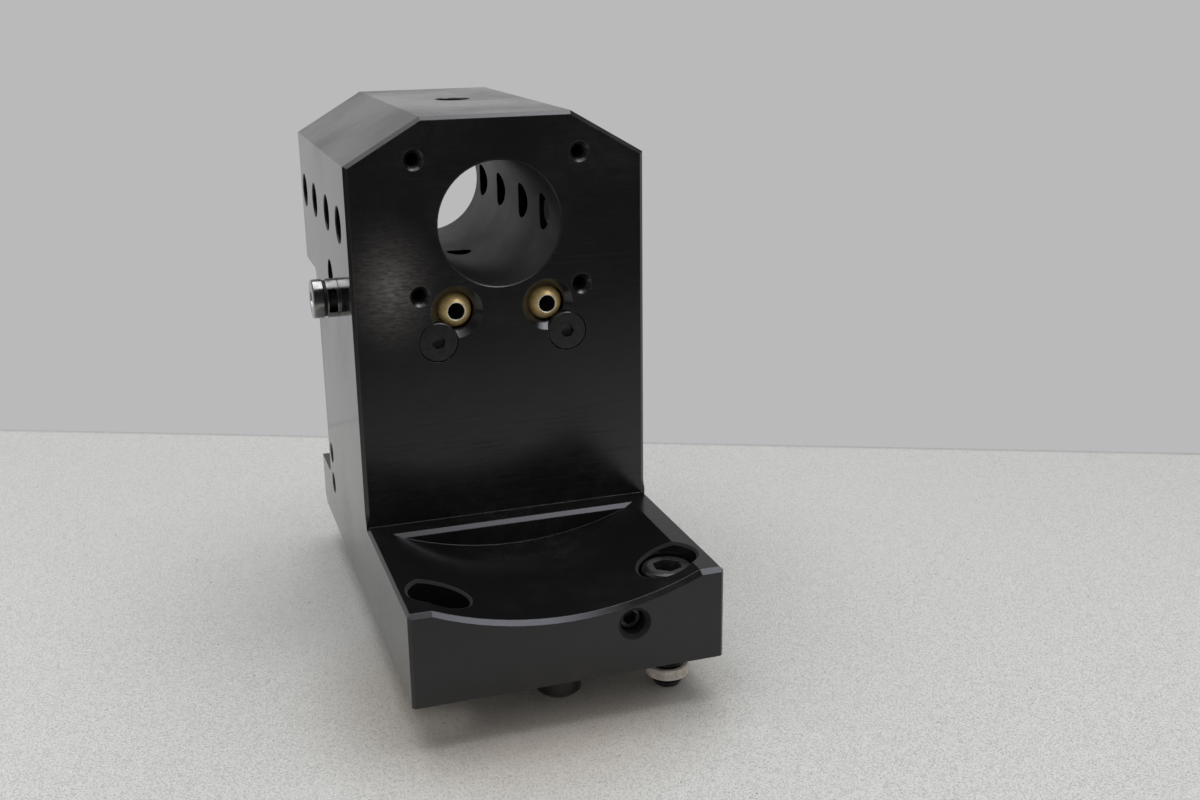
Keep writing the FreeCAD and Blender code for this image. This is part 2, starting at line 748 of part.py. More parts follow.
def coolant_balls(doc, s):
    """Each nozzle is a drilled ball on a ring with a spherical seat."""
    for side, name in ((-1, "left"), (1, "right")):
        centre = (s["ball_spacing"] / 2 * side, s["tower_front"] + s["ball_centre_depth"],
                  s["ball_height"])
        radius = s["ball_diameter"] / 2
        ball = new_body(doc, "coolant_ball_" + name, FORWARD, centre)
        sphere = ball.newObject("PartDesign::AdditiveSphere", "sphere")
        bind(sphere, "Radius", radius)
        settle(ball, sphere, True)
        passage = new_sketch(ball, "passage", "XY_Plane")
        draw_circle(passage, 0, 0, s["ball_passage"])
        pocket(ball, passage, midplane=True)
        outlet = new_sketch(ball, "outlet", "XY_Plane", radius)
        draw_circle(outlet, 0, 0, s["ball_outlet"])
        pocket(ball, outlet, s["ball_outlet_depth"])
        inlet = new_sketch(ball, "inlet", "XY_Plane", -radius)
        draw_circle(inlet, 0, 0, s["ball_inlet"])
        pocket(ball, inlet, radius / 2, back=True)
        chamfer(ball, "rim", s["ball_rim"], lambda edge, box: (
            near(box.XLength, s["ball_outlet"]) and box.ZMin > radius.value / 2))
        seat = new_body(doc, "ball_seat_ring_" + name, FORWARD, centre)
        inner = s["seat_passage"] / 2
        turned(seat, "section", [
            (inner, -s["seat_lip"]),
            (radius, -s["seat_lip"]),
            (radius, -s["seat_end"]),
            (inner, -s["seat_end"]),
        ])
        hollow = seat.newObject("PartDesign::SubtractiveSphere", "hollow")
        bind(hollow, "Radius", radius + s["seat_clearance"])
        settle(seat, hollow, False)


def ball_clamp_screws(doc, s):
    thickness = ball_screw_head_thickness(s)
    head = s["ball_screw_head"] / 2
    shank = s["ball_screw_thread"] / 2 - s["thread_clearance"]
    edge = s["thread_edge"]
    for side, name in ((-1, "left"), (1, "right")):
        base = ((s["ball_spacing"] / 2 + s["ball_screw_across"]) * side, s["tower_front"],
                s["ball_height"] - s["ball_screw_down"])
        body = new_body(doc, "ball_clamp_screw_" + name, FORWARD, base)
        turned(body, "section", [
            (0, 0),
            (head, 0),
            (head, -thickness),
            (shank, -thickness),
            (shank, edge - thickness - s["ball_screw_length"]),
            (shank - edge, -thickness - s["ball_screw_length"]),
            (0, -thickness - s["ball_screw_length"]),
        ])
        cut_socket(body, s["ball_screw_socket"], s["ball_screw_socket_depth"])


def plugs(doc, s):
    """Plugs of the cross gallery and of the left port, and the flange's adjusting screw."""
    drive = s["half_width"] - s["plug_recess"]
    shared = (s["thread_clearance"],)
    set_screw(doc, "gallery_plug", RIGHTWARD, (drive, s["riser_back"], s["ball_height"]),
              s["gallery_plug_thread"], s["gallery_plug_length"],
              s["gallery_plug_thread"] * POINT_SHARE, s["clamp_chamfer"],
              s["gallery_plug_socket"], s["gallery_plug_socket"], *shared)
    set_screw(doc, "port_plug", LEFTWARD, (-drive, s["port_back"], s["port_height"]),
              s["clamp_thread"], s["port_plug_length"], s["clamp_thread"] * POINT_SHARE,
              s["clamp_chamfer"], s["clamp_socket"], s["clamp_socket_depth"], *shared)
    set_screw(doc, "flange_adjusting_screw", FORWARD,
              (s["adjuster_across"], s["flange_front"] + s["adjuster_recess"],
               s["adjuster_height"]),
              s["adjuster_thread"], s["adjuster_length"], s["adjuster_thread"] * POINT_SHARE,
              s["pin_chamfer"], s["adjuster_socket"], s["adjuster_socket"], *shared)


def side_jet(doc, s):
    """Hollow screw, washer and jet ring that turns on the screw to aim its slot."""
    place = (s["jet_back"], s["jet_height"])
    ring_face = s["axial_clearance"] * 2 + s["jet_ring_thickness"]
    head_seat = ring_face + s["axial_clearance"] + s["jet_washer_thickness"]
    half = s["half_width"]
    drive = head_seat + s["jet_head_thickness"]
    screw = new_body(doc, "side_jet_screw", LEFTWARD, (-half - drive, *place))
    head, shank = s["jet_diameter"] / 2, s["jet_thread"] / 2 - s["thread_clearance"]
    end = s["jet_head_thickness"] + s["jet_screw_length"]
    rim = s["bore_chamfer"]
    turned(screw, "section", [
        (0, 0),
        (head - rim, 0),
        (head, -rim),
        (head, -s["jet_head_thickness"]),
        (shank, -s["jet_head_thickness"]),
        (shank, s["pin_chamfer"] - end),
        (shank - s["pin_chamfer"], -end),
        (0, -end),
    ])
    cut_socket(screw, s["jet_head_socket"], s["jet_head_socket_depth"])
    feed = new_sketch(screw, "feed", "XY_Plane", -end)
    draw_circle(feed, 0, 0, s["jet_drill"])
    pocket(screw, feed, end - s["jet_head_thickness"] - s["jet_washer_thickness"], back=True)
    cross = new_sketch(screw, "cross", "YZ_Plane")
    ring_middle = drive - s["axial_clearance"] - s["jet_ring_thickness"] / 2
    draw_circle(cross, 0, -ring_middle, s["jet_cross_drill"])
    pocket(screw, cross, midplane=True)
    washer = new_body(doc, "side_jet_washer", LEFTWARD, (-half - head_seat, *place))
    bore = s["jet_thread"] / 2 + s["swivel_clearance"]
    turned(washer, "section", [
        (bore, 0),
        (s["jet_washer_diameter"] / 2, 0),
        (s["jet_washer_diameter"] / 2, -s["jet_washer_thickness"]),
        (bore, -s["jet_washer_thickness"]),
    ])
    jet_ring(doc, s, (-half - ring_face + s["axial_clearance"], *place))


def jet_ring(doc, s, base):
    """Ring with an inner groove that feeds a slot through its front wall."""
    ring = new_body(doc, "side_jet_ring", LEFTWARD, base)
    outer = s["jet_diameter"] / 2
    inner = s["jet_thread"] / 2 + s["swivel_clearance"] - s["thread_clearance"]
    middle = s["jet_ring_thickness"] / 2
    width = s["jet_window_width"] / 2
    groove = inner + s["jet_washer_thickness"]
    turned(ring, "section", [
        (inner, 0),
        (outer, 0),
        (outer, -s["jet_ring_thickness"]),
        (inner, -s["jet_ring_thickness"]),
        (inner, -middle - width),
        (groove, -middle - width),
        (groove, width - middle),
        (inner, width - middle),
    ])
    window = new_sketch(ring, "window", "XZ_Plane")
    tall = s["jet_window_height"] / 2
    draw_outline(window, [
        (-tall, -middle - width),
        (tall, -middle - width),
        (tall, width - middle),
        (-tall, width - middle),
    ])
    pocket(ring, window, outer, back=True)


def mounting_bolts(doc, s):
    """Socket head bolts that hang through the flanges, each kept by a grooved ring."""
    rear = s["rear_row"]
    places = (
        ("front_right", s["bolt_across"], as_size(0), s["front_bolt_length"]),
        ("rear_left", -s["bolt_across"], rear, s["rear_bolt_length"]),
        ("rear_right", s["bolt_across"], rear, s["rear_bolt_length"]),
    )
    head, shank = s["bolt_head"] / 2, s["bolt_thread"] / 2
    edge = s["pin_chamfer"]
    for name, across, back, length in places:
        drive = length + s["bolt_head_height"] - s["bolt_reach"]
        bolt = new_body(doc, "mounting_bolt_" + name, UPWARD, (across, back, drive))
        end = s["bolt_head_height"] + length
        turned(bolt, "section", [
            (0, 0),
            (head - edge, 0),
            (head, -edge),
            (head, -s["bolt_head_height"]),
            (shank, -s["bolt_head_height"]),
            (shank, edge - end),
            (shank - edge, -end),
            (0, -end),
        ])
        cut_socket(bolt, s["bolt_socket"], s["bolt_socket_depth"])
        retaining_ring(doc, s, "bolt_retaining_ring_" + name, (across, back, -s["ring_drop"]))


def retaining_ring(doc, s, label, base):
    """Ring with V grooves round its edge, cut once and repeated by a polar pattern."""
    ring = new_body(doc, label, UPWARD, base)
    outer = s["ring_diameter"] / 2
    inner = s["bolt_thread"] / 2 + s["pin_clearance"]
    turned(ring, "section", [
        (inner, 0),
        (outer, 0),
        (outer, -s["ring_height"]),
        (inner, -s["ring_height"]),
    ])
    groove = new_sketch(ring, "groove", "XY_Plane")
    deep = s["ring_groove_depth"]
    draw_outline(groove, [(outer - deep, 0), (outer + deep, deep), (outer + deep, -deep)])
    cut = pocket(ring, groove)
    pattern = ring.newObject("PartDesign::PolarPattern", "grooves")
    pattern.Originals = [cut]
    pattern.Axis = (groove, ["N_Axis"])
    pattern.Angle = 360
    pattern.Occurrences = RING_GROOVES
    settle(ring, pattern, False)


def locating_pins(doc, s):
    """Dowels whose shoulders stand in shallow reliefs of the seat face."""
    radius, shank, edge = s["pin_diameter"] / 2, s["pin_shank"] / 2, s["pin_chamfer"]
    shoulder = s["pin_reach"] + s["pin_relief_depth"]
    length = s["pin_reach"] + s["pin_shank_depth"]
    for name, back in (("front", as_size(0)), ("rear", s["rear_row"])):
        pin = new_body(doc, "locating_pin_" + name, DOWNWARD, (0, back, -s["pin_reach"]))
        turned(pin, "section", [
            (0, 0),
            (radius - edge, 0),
            (radius, -edge),
            (radius, -shoulder),
            (shank, -shoulder),
            (shank, edge - length),
            (shank - edge, -length),
            (0, -length),
        ])


def inlet_seal(doc, s):
    """Round-section seal in the groove where the riser opens in the seat face."""
    seal = doc.addObject("Part::Torus", "coolant_inlet_seal")
    seal.Label = "coolant_inlet_seal"
    radius = s["seal_section"] / 2
    bind(seal, "Radius1", s["seal_bore"] / 2 + radius)
    bind(seal, "Radius2", radius)
    bind(seal, "Placement.Base.x", 0)
    bind(seal, "Placement.Base.y", s["riser_back"])
    bind(seal, "Placement.Base.z", s["seal_groove_depth"] - radius)


def write_parts(doc):
    """Check every object of the document, then write each sub-part to a file of its own."""
    doc.recompute()
    for item in doc.Objects:
        if "Invalid" in item.State or "Error" in item.State:
            raise RuntimeError("%s is %s" % (item.Name, item.State))
    pieces = [item for item in doc.Objects
              if item.isDerivedFrom("PartDesign::Body") or item.TypeId == "Part::Torus"]
    for piece in pieces:
        if piece.Shape.isNull() or not piece.Shape.isValid() or len(piece.Shape.Solids) != 1:
            raise RuntimeError("%s has no sound solid" % piece.Label)
    os.makedirs("parts", exist_ok=True)
    for piece in pieces:
        piece.Shape.exportStep("parts/%s.step" % piece.Label)
    print("%d parts written" % len(pieces))


def main():
    doc = FreeCAD.newDocument("tool_holder")
    sizes = size_sheet(doc)
    holder_block(doc, sizes)
    bar_clamp_screws(doc, sizes)
    coolant_balls(doc, sizes)
    ball_clamp_screws(doc, sizes)
    plugs(doc, sizes)
    side_jet(doc, sizes)
    mounting_bolts(doc, sizes)
    locating_pins(doc, sizes)
    inlet_seal(doc, sizes)
    write_parts(doc)


main()
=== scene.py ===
import json
import math

import bmesh
import bpy
from bpy.props import FloatProperty, FloatVectorProperty, PointerProperty
from mathutils import Matrix, Vector


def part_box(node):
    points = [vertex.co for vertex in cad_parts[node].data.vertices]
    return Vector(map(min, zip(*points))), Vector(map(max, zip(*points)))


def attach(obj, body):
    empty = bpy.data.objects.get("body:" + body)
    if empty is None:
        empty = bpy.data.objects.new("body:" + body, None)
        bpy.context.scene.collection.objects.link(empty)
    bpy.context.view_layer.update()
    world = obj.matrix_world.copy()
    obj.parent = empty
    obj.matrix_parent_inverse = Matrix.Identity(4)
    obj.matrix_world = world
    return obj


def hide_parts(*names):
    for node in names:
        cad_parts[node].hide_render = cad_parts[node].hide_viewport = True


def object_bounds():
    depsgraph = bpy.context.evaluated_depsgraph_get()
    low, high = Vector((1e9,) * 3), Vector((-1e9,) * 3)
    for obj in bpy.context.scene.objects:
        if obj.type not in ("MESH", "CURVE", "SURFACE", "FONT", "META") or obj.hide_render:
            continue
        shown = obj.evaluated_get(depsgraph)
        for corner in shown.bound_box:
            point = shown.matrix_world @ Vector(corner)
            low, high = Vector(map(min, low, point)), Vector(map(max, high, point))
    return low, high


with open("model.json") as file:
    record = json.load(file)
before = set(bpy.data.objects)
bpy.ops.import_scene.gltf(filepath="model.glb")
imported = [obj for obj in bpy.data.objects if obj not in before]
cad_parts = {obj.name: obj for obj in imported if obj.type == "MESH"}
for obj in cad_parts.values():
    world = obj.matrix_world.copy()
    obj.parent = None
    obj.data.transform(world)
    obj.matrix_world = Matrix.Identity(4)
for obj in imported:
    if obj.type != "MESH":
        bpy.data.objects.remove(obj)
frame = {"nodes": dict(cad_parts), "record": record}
CAD_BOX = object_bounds()

bl_info = {
    "name": "Combination tool holder",
    "version": (1, 0, 0),
    "blender": (4, 5, 0),
    "location": "3D View > Sidebar > Tool holder",
    "description": "Fasteners, nozzles, threads and finishes of a combination tool holder",
    "category": "Object",
}

MM = 0.001
TURN_STEPS = 96
LEFT = Vector((-1, 0, 0))
RIGHT = Vector((1, 0, 0))
FRONT = Vector((0, -1, 0))
UP = Vector((0, 0, 1))

# Where the finishes change on the block and the table, in the holder's frame.
NEAR = 0.2 * MM
HALF_WIDTH = 48.3 * MM
FRONT_FACE = 53 * MM
BORE_HEIGHT = 126 * MM
BORE_RADIUS = 20 * MM
WELL_ACROSS = 36 * MM
WELL_RIM = (9.02 * MM, 9.85 * MM)
SINK_RADIUS = 5.2 * MM
# Place and half size of the painted sheen: a pale patch of colour on the front face that stands in
# for a reflection.
PATCH_PLACE = (-36 * MM, 108 * MM)
PATCH_HALF_SIZE = (13 * MM, 19 * MM)
# Middle of the painted shadow on the table round the holder's foot.
FOOT_PLACE = (-10 * MM, 10 * MM)

# Thread forms as shares of the pitch: the depth, the end of the flat at the full radius, and
# both ends of the flat that lies the depth further in.
OUTER_THREAD = (0.60, 0.14, 0.46, 0.68)
INNER_THREAD = (0.34, 0.18, 0.50, 0.68)
# Lead-in of a socket as a share of its key size.
SOCKET_LEAD = 0.04


def length(name, description, millimetres):
    """A length property, given in millimetres and kept in metres."""
    return FloatProperty(name=name, description=description, default=millimetres * MM,
                         unit="LENGTH", subtype="DISTANCE", precision=5)


def colour(name, description, red, green, blue):
    """A colour property."""
    return FloatVectorProperty(name=name, description=description, default=(red, green, blue),
                               subtype="COLOR", min=0, max=1)


def share(name, description, value):
    """A property from nought to one."""
    return FloatProperty(name=name, description=description, default=value, min=0, max=1,
                         subtype="FACTOR")


class HolderScrewSizes(bpy.types.PropertyGroup):
    """Sizes of the threads and sockets that the frame doesn't carry."""
    pitch_m12: length("M12 pitch", "Pitch of the bar clamp screws and the port plug", 1.75)
    pitch_m10: length("M10 pitch", "Pitch of the mounting bolts and the gallery plug", 1.5)
    pitch_m8: length("M8 pitch", "Pitch of the adjusting screw and the side pair", 1.25)
    pitch_m6: length("M6 pitch", "Pitch of the ball clamp screws and accessory holes", 1.0)
    clamp_key: length("Clamp key", "Key size of the bar clamp screws", 6.0)
    bolt_key: length("Bolt key", "Key size of the mounting bolts", 8.0)
    ball_key: length("Ball screw key", "Key size of the ball clamp screws", 4.0)
    adjuster_key: length("Adjuster key", "Key size of the flange adjusting screw", 4.0)
    jet_key: length("Jet key", "Key size of the side jet screw", 5.0)
    plug_key: length("Plug key", "Key size of the gallery plug", 5.0)
    knurl_depth: length("Knurl depth", "Depth of the knurl on the bolt heads and rings", 0.22)


class HolderFinishes(bpy.types.PropertyGroup):
    """Colours and gloss of the finishes."""
    oxide: colour("Black oxide", "Main colour of the blackened steel", 0.0056, 0.0053, 0.0057)
    oxide_pale: colour("Rubbed oxide", "Colour where the black is thin", 0.017, 0.0150, 0.0150)
    # Worn edges, and also the painted highlight on the screw points in the bore.
    oxide_wear_and_highlight: colour("Worn edge", "Colour of edges rubbed to steel", 0.10, 0.10, 0.102)
    # Painted sheen: a pale colour laid on a patch of the front that stands in for a reflection.
    oxide_painted_sheen: colour("Painted sheen", "Colour of the sheen painted on the front", 0.130, 0.118, 0.110)
    oxide_gloss: share("Oxide roughness", "Roughness of the blackened steel", 0.19)
    screw_black: colour("Screw black", "Colour of the blackened screws", 0.008, 0.008, 0.009)
    bright: colour("Bright steel", "Colour of turned and polished steel", 0.34, 0.335, 0.33)
    brass: colour("Brass", "Colour of the coolant balls and their seats", 1.0, 0.77, 0.37)
    # Painted highlight: a bright ring of colour round each outlet.
    brass_rim_highlight: colour("Outlet highlight", "Colour of the edge round an outlet", 1.0, 0.94, 0.76)
    # Tarnish and painted shade: the ball takes this colour in random tarnish, and towards its outer
    # edge where it sits in its recess.
    brass_tarnish_and_shade: colour("Dull brass", "Colour of brass where it has tarnished", 0.48, 0.26, 0.05)
    # Painted shade: the inside of each outlet is coloured black, and made matt and non-metal.
    brass_outlet_shade: colour("Outlet shade", "Colour inside the outlets", 0.006, 0.006, 0.006)
    plastic: colour("Ring plastic", "Colour of the retaining rings", 0.66, 0.60, 0.52)
    rubber: colour("Seal rubber", "Colour of the seal and the jet's washer", 0.010, 0.010, 0.011)


class HolderStudio(bpy.types.PropertyGroup):
    """Camera, floor and light."""
    camera_place: FloatVectorProperty(
        name="Camera", description="Place of the camera in the holder's frame",
        default=(-0.10643, -0.36193, 0.19818), subtype="XYZ", unit="LENGTH")
    camera_bearing: FloatProperty(name="Bearing", description="Turn of the view from the Y axis",
                                  default=0.323, subtype="ANGLE")
    camera_fall: FloatProperty(name="Fall", description="How far the view looks down",
                               default=0.297, subtype="ANGLE")
    camera_roll: FloatProperty(name="Roll", description="Turn of the frame about the view",
                               default=-0.013, subtype="ANGLE")
    camera_lens: FloatProperty(name="Lens", description="Focal length on a 36 mm wide frame",
                               default=40.82, subtype="DISTANCE_CAMERA")
    floor: colour("Floor", "Colour of the table", 0.60, 0.592, 0.568)
    # Painted shadow: a warmer, darker table colour round the holder's foot.
    floor_painted_shadow: colour("Floor shade", "Warmer, darker painted shadow on the table round the holder's foot",
                        0.50, 0.455, 0.405)
    floor_end: FloatVectorProperty(
        name="Table end", description="Where the table's far edge crosses X nought, and its slope",
        default=(0.2735, -0.452), size=2)
    wall: colour("Wall", "Colour of the backdrop", 0.497, 0.488, 0.497)
    sky: colour("Ceiling", "Colour of the room's light from above", 0.47, 0.48, 0.54)
    sky_gloss: FloatProperty(name="Ceiling level", description="Ceiling as seen in the steel",
                             default=7.0)
    sky_way: FloatVectorProperty(
        name="Ceiling light", description="Direction of the room's light from above",
        default=(0.45, -0.30, 0.84), subtype="DIRECTION")
    wall_gloss: FloatProperty(name="Gloss level", description="Backdrop as seen in the steel",
                              default=1.15)
    front_gloss: FloatProperty(name="Front level", description="Dim side, behind the camera",
                               default=0.10)
    fill_level: FloatProperty(name="Fill", description="Light from all round", default=0.70)
    lamp_power: FloatProperty(name="Lamp", description="Power of the overhead softbox",
                              default=17.5, subtype="POWER")
    lamp_place: FloatVectorProperty(name="Lamp place", description="Middle of the softbox",
                                    default=(0.04, 0.42), size=2)
    lamp_width: length("Lamp width", "Side of the overhead softbox", 1400.0)
    lamp_height: length("Lamp height", "Height of the softbox above the table", 1300.0)


def screws():
    """Sizes of the threads and sockets."""
    return bpy.context.scene.holder_screws


def finishes():
    """Colours and gloss."""
    return bpy.context.scene.holder_finishes


def studio():
    """Camera, floor and light."""
    return bpy.context.scene.holder_studio


class Signal:
    """One output of a shader node, which takes arithmetic by adding Math nodes."""

    def __init__(self, shader, socket):
        self.shader = shader
        self.socket = socket

    def maths(self, operation, *values):
        """The result of a Math node on values or signals."""
        inputs = dict(enumerate(values))
        return self.shader.add("Math", {"operation": operation}, inputs)

    def __add__(self, other):
        return self.maths("ADD", self, other)

    def __radd__(self, other):
        return self.maths("ADD", other, self)

    def __sub__(self, other):
        return self.maths("SUBTRACT", self, other)

    def __rsub__(self, other):
        return self.maths("SUBTRACT", other, self)

    def __mul__(self, other):
        return self.maths("MULTIPLY", self, other)

    def __rmul__(self, other):
        return self.maths("MULTIPLY", other, self)

    def __truediv__(self, other):
        return self.maths("DIVIDE", self, other)

    def __gt__(self, other):
        return self.maths("GREATER_THAN", self, other)

    def __lt__(self, other):
        return self.maths("LESS_THAN", self, other)

    def size(self):
        """The value without its sign."""
        return self.maths("ABSOLUTE", self)

    def root(self):
        """The square root."""
        return self.maths("SQRT", self)

    def sine(self):
        """The sine of an angle in radians."""
        return self.maths("SINE", self)

    def ramp(self, low, high, start=0.0, end=1.0):
        """The value taken from low..high to start..end, clamped at both ends."""
        return self.shader.add("MapRange", {"clamp": True}, {
            "Value": self, "From Min": low, "From Max": high, "To Min": start, "To Max": end})


class Shader:
    """The node tree of one material, or of the world."""

    def __init__(self, name, kind="materials"):
        self.owner = getattr(bpy.data, kind).new(name)
        self.owner.use_nodes = True
        self.tree = self.owner.node_tree
        self.tree.nodes.clear()

    def add(self, kind, settings=None, values=None, output=0):
        """Add a node, set its settings, then the values or links of its sockets."""
        node = self.tree.nodes.new("ShaderNode" + kind)
        for key, value in (settings or {}).items():
            setattr(node, key, value)
        for key, value in (values or {}).items():
            if isinstance(value, Signal):
                self.tree.links.new(value.socket, node.inputs[key])
            else:
                node.inputs[key].default_value = value
        return Signal(self, node.outputs[output]) if node.outputs else None

    def place(self):
        """The shading point in the holder's frame."""
        return self.add("TexCoord", output="Object")

    def parts(self, vector):
        """The X, Y and Z of a vector as three signals."""
        split = self.add("SeparateXYZ", values={0: vector}, output="X")
        node = split.socket.node
        return [Signal(self, node.outputs[name]) for name in ("X", "Y", "Z")]

    def noise(self, size_mm, detail=2.0, roughness=0.5, vector=None, stretch=None, turn=None):
        """Noise with features of about that size, stretched along the object's axes if asked."""
        vector = vector or self.place()
        if stretch or turn:
            vector = self.add("Mapping", values={
                "Vector": vector, "Rotation": turn or (0, 0, 0), "Scale": stretch or (1, 1, 1)})
        return self.add("TexNoise", values={
            "Vector": vector, "Scale": 1 / (size_mm * MM), "Detail": detail,
            "Roughness": roughness}, output="Fac")

    def mix(self, factor, first, second):
        """A colour between two colours; each may be a plain colour or a signal."""
        first, second = ((*tone, 1) if not isinstance(tone, Signal) else tone
                         for tone in (first, second))
        return self.add("Mix", {"data_type": "RGBA"}, {0: factor, 6: first, 7: second}, output=2)

    def soft_normal(self, radius_mm):
        """The surface's normal, rounded over at edges."""
        return self.add("Bevel", {"samples": 6}, {"Radius": radius_mm * MM})

    def edge_mask(self, soft):
        """One on rounded-over edges and nought on flats."""
        flat = self.add("NewGeometry", output="Normal")
        aligned = self.add("VectorMath", {"operation": "DOT_PRODUCT"}, {0: soft, 1: flat},
                           output="Value")
        return (1.0 - aligned).ramp(0.01, 0.16)

    def bump(self, height, depth_mm, normal=None):
        """The normal of a surface raised by that height, on top of another normal."""
        values = {"Height": height, "Distance": depth_mm * MM, "Strength": 1.0}
        if normal:
            values["Normal"] = normal
        return self.add("Bump", values=values)

    def finish(self, **inputs):
        """Close the tree with a Principled shader that has these inputs."""
        values = {key.replace("_", " "): value for key, value in inputs.items()}
        for key, value in values.items():
            if isinstance(value, (tuple, list)) and len(value) == 3:
                values[key] = (*value, 1)
        surface = self.add("BsdfPrincipled", values=values)
        self.add("OutputMaterial", values={"Surface": surface})
        return self.owner


def distance_from_line(first, second, first_at, second_at):
    """Distance of a shading point from a line along the third axis."""
    across, up = first - first_at, second - second_at
    return (across * across + up * up).root()


def painted_sheen_patch(shader, x, z):
    """One in the middle of the painted sheen patch on the front, and nought outside it."""
    across, up = ((value - middle) / half for value, middle, half
                  in zip((x, z), PATCH_PLACE, PATCH_HALF_SIZE))
    near = (across * across + up * up).root().ramp(0.10, 1.45, 1.0, 0.0)
    # Painted sheen: noise breaks up the pale patch.
    sheen_breakup = shader.noise(0.7, 4.0, 0.7, stretch=(0.30, 1.0, 1.0), turn=(0.0, 0.6, 0.0))
    return near * near * sheen_breakup.ramp(0.35, 0.62, 0.35, 1.0)


def matt_cuts(x, y, z):
    """One on the rims of the bolt wells and in the adjusting screw's hole, which stay matt."""
    from_well = distance_from_line(x.size(), y, WELL_ACROSS, 0)
    well_rim = (from_well > WELL_RIM[0]) * (from_well < WELL_RIM[1])
    low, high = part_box("flange_adjusting_screw")
    middle = (low + high) / 2
    sink = (distance_from_line(x, z, middle.x, middle.z) < SINK_RADIUS) * (y < low.y)
    return well_rim + sink


def oxide_tone(shader, rub, sheen_patch, edges):
    """Black, paler where it is rubbed or specked, with a painted sheen patch on the front, and worn
    at the edges.
    """
    look = finishes()
    specks = shader.noise(1.1, 1.0, 0.4).ramp(0.76, 0.80)
    body = shader.mix(rub * 0.8, look.oxide, look.oxide_pale)
    dusty = shader.mix(specks * 0.4, body, look.oxide_pale)
    # Painted sheen: the pale patch on the front.
    sheened = shader.mix(sheen_patch, dusty, look.oxide_painted_sheen)
    return shader.mix(edges * 0.6, sheened, look.oxide_wear_and_highlight)


def oxide_material():
    """Ground and blackened steel: glossy, finely grained, a little cloudy, rubbed at the edges, with
    a painted sheen patch on the front.
    """
    shader = Shader("black_oxide")
    x, y, z = shader.parts(shader.place())
    soft = shader.soft_normal(0.30)
    cloud = shader.noise(38, 3.0, 0.5)
    mottle = shader.noise(5.0, 4.0, 0.6)
    grain = shader.noise(0.30, 2.0, 0.5)
    grind = shader.noise(0.9, 3.0, 0.6, stretch=(0.05, 1.0, 1.0), turn=(0.0, 0.10, 0.0))
    brushed = shader.noise(0.8, 3.0, 0.6, stretch=(1.0, 1.0, 0.05))
    rub = cloud.ramp(0.45, 0.75) * mottle.ramp(0.30, 0.75)
    edges = shader.edge_mask(soft) * mottle.ramp(0.25, 0.62, 0.3, 1.0)
    front = (y < FRONT_FACE + NEAR) * (y > FRONT_FACE - NEAR)
    bore = distance_from_line(x, z, 0, BORE_HEIGHT) < BORE_RADIUS + NEAR
    side = x.size() > HALF_WIDTH - NEAR
    # Painted sheen patch on the front face, which is also made a little rougher.
    sheen_patch = painted_sheen_patch(shader, x, z) * front
    gloss = (finishes().oxide_gloss + cloud.ramp(0.35, 0.7, -0.04, 0.07)
             + mottle.ramp(0.3, 0.7, -0.015, 0.025) + grain.ramp(0.3, 0.7, -0.02, 0.02)
             + sheen_patch * 0.18 + edges * 0.05 + bore * 0.30 - side * 0.08
             + matt_cuts(x, y, z) * 0.75 + front * grind.ramp(0.45, 0.75, -0.02, 0.10))
    turning = (y * (2 * math.pi / (0.35 * MM))).sine() * bore
    height = (grain * 0.35 + grind * front * 0.5 + brushed * (1.0 - front) * 0.4 + mottle * 0.35
              + turning * 2.0)
    return shader.finish(Base_Color=oxide_tone(shader, rub, sheen_patch, edges), Roughness=gloss,
                         Normal=shader.bump(height, 0.0022, soft), IOR=1.52)


def screw_material():
    """Blackened fastener steel, a little oily, worn at the edges, with a painted highlight at the
    points in the bore.
    """
    look = finishes()
    shader = Shader("screw_black")
    soft = shader.soft_normal(0.12)
    mottle = shader.noise(2.2, 4.0, 0.6)
    grain = shader.noise(0.2, 2.0)
    edges = shader.edge_mask(soft) * mottle.ramp(0.3, 0.6, 0.3, 1.0)
    body = shader.mix(mottle.ramp(0.35, 0.75), look.screw_black, look.oxide_pale)
    x, _, z = shader.parts(shader.place())
    # Painted highlight: the screw points in the bore are coloured pale, standing in for a reflection.
    point = distance_from_line(x, z, 0, BORE_HEIGHT) < BORE_RADIUS + 2.5 * MM
    # Edge wear, plus the painted highlight on the points.
    worn = shader.mix(edges * 0.6 + point * 0.9, body, look.oxide_wear_and_highlight)
    gloss = 0.30 + mottle.ramp(0.3, 0.7, -0.06, 0.08) + grain.ramp(0.3, 0.7, -0.03, 0.03)
    normal = shader.bump(grain + mottle, 0.004, soft)
    return shader.finish(Base_Color=worn, Roughness=gloss, Normal=normal, IOR=1.5)


def bright_material():
    """Turned steel, polished, with fine rings round its own axis, and painted shade, black and matt,
    on what lies inside the jet ring.
    """
    look = finishes()
    shader = Shader("bright_steel")
    low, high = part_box("side_jet_ring")
    _, back, up = (low + high) / 2
    x, y, z = shader.parts(shader.place())
    off_axis = distance_from_line(y, z, back, up)
    rings = (off_axis * (2 * math.pi / (0.24 * MM))).sine()
    # Painted shade: what lies inside the jet ring is coloured black, matt and non-metal.
    inside = (off_axis < 4.9 * MM) * (x > low.x - 0.9 * MM)
    soft = shader.soft_normal(0.18)
    smear = shader.noise(2.4, 4.0, 0.6)
    grain = shader.noise(0.25, 2.0, stretch=(0.25, 1.0, 1.0))
    polished = shader.mix(smear.ramp(0.35, 0.75), look.bright,
                          tuple(channel * 0.72 for channel in look.bright))
    tone = shader.mix(inside, polished, look.screw_black)
    gloss = (0.17 + smear.ramp(0.3, 0.7, -0.04, 0.09) + grain.ramp(0.3, 0.7, -0.03, 0.04)
             + inside * 0.3)
    normal = shader.bump(rings * 0.5 + grain, 0.0016, soft)
    return shader.finish(Base_Color=tone, Roughness=gloss, Normal=normal,
                         Metallic=1.0 - inside)


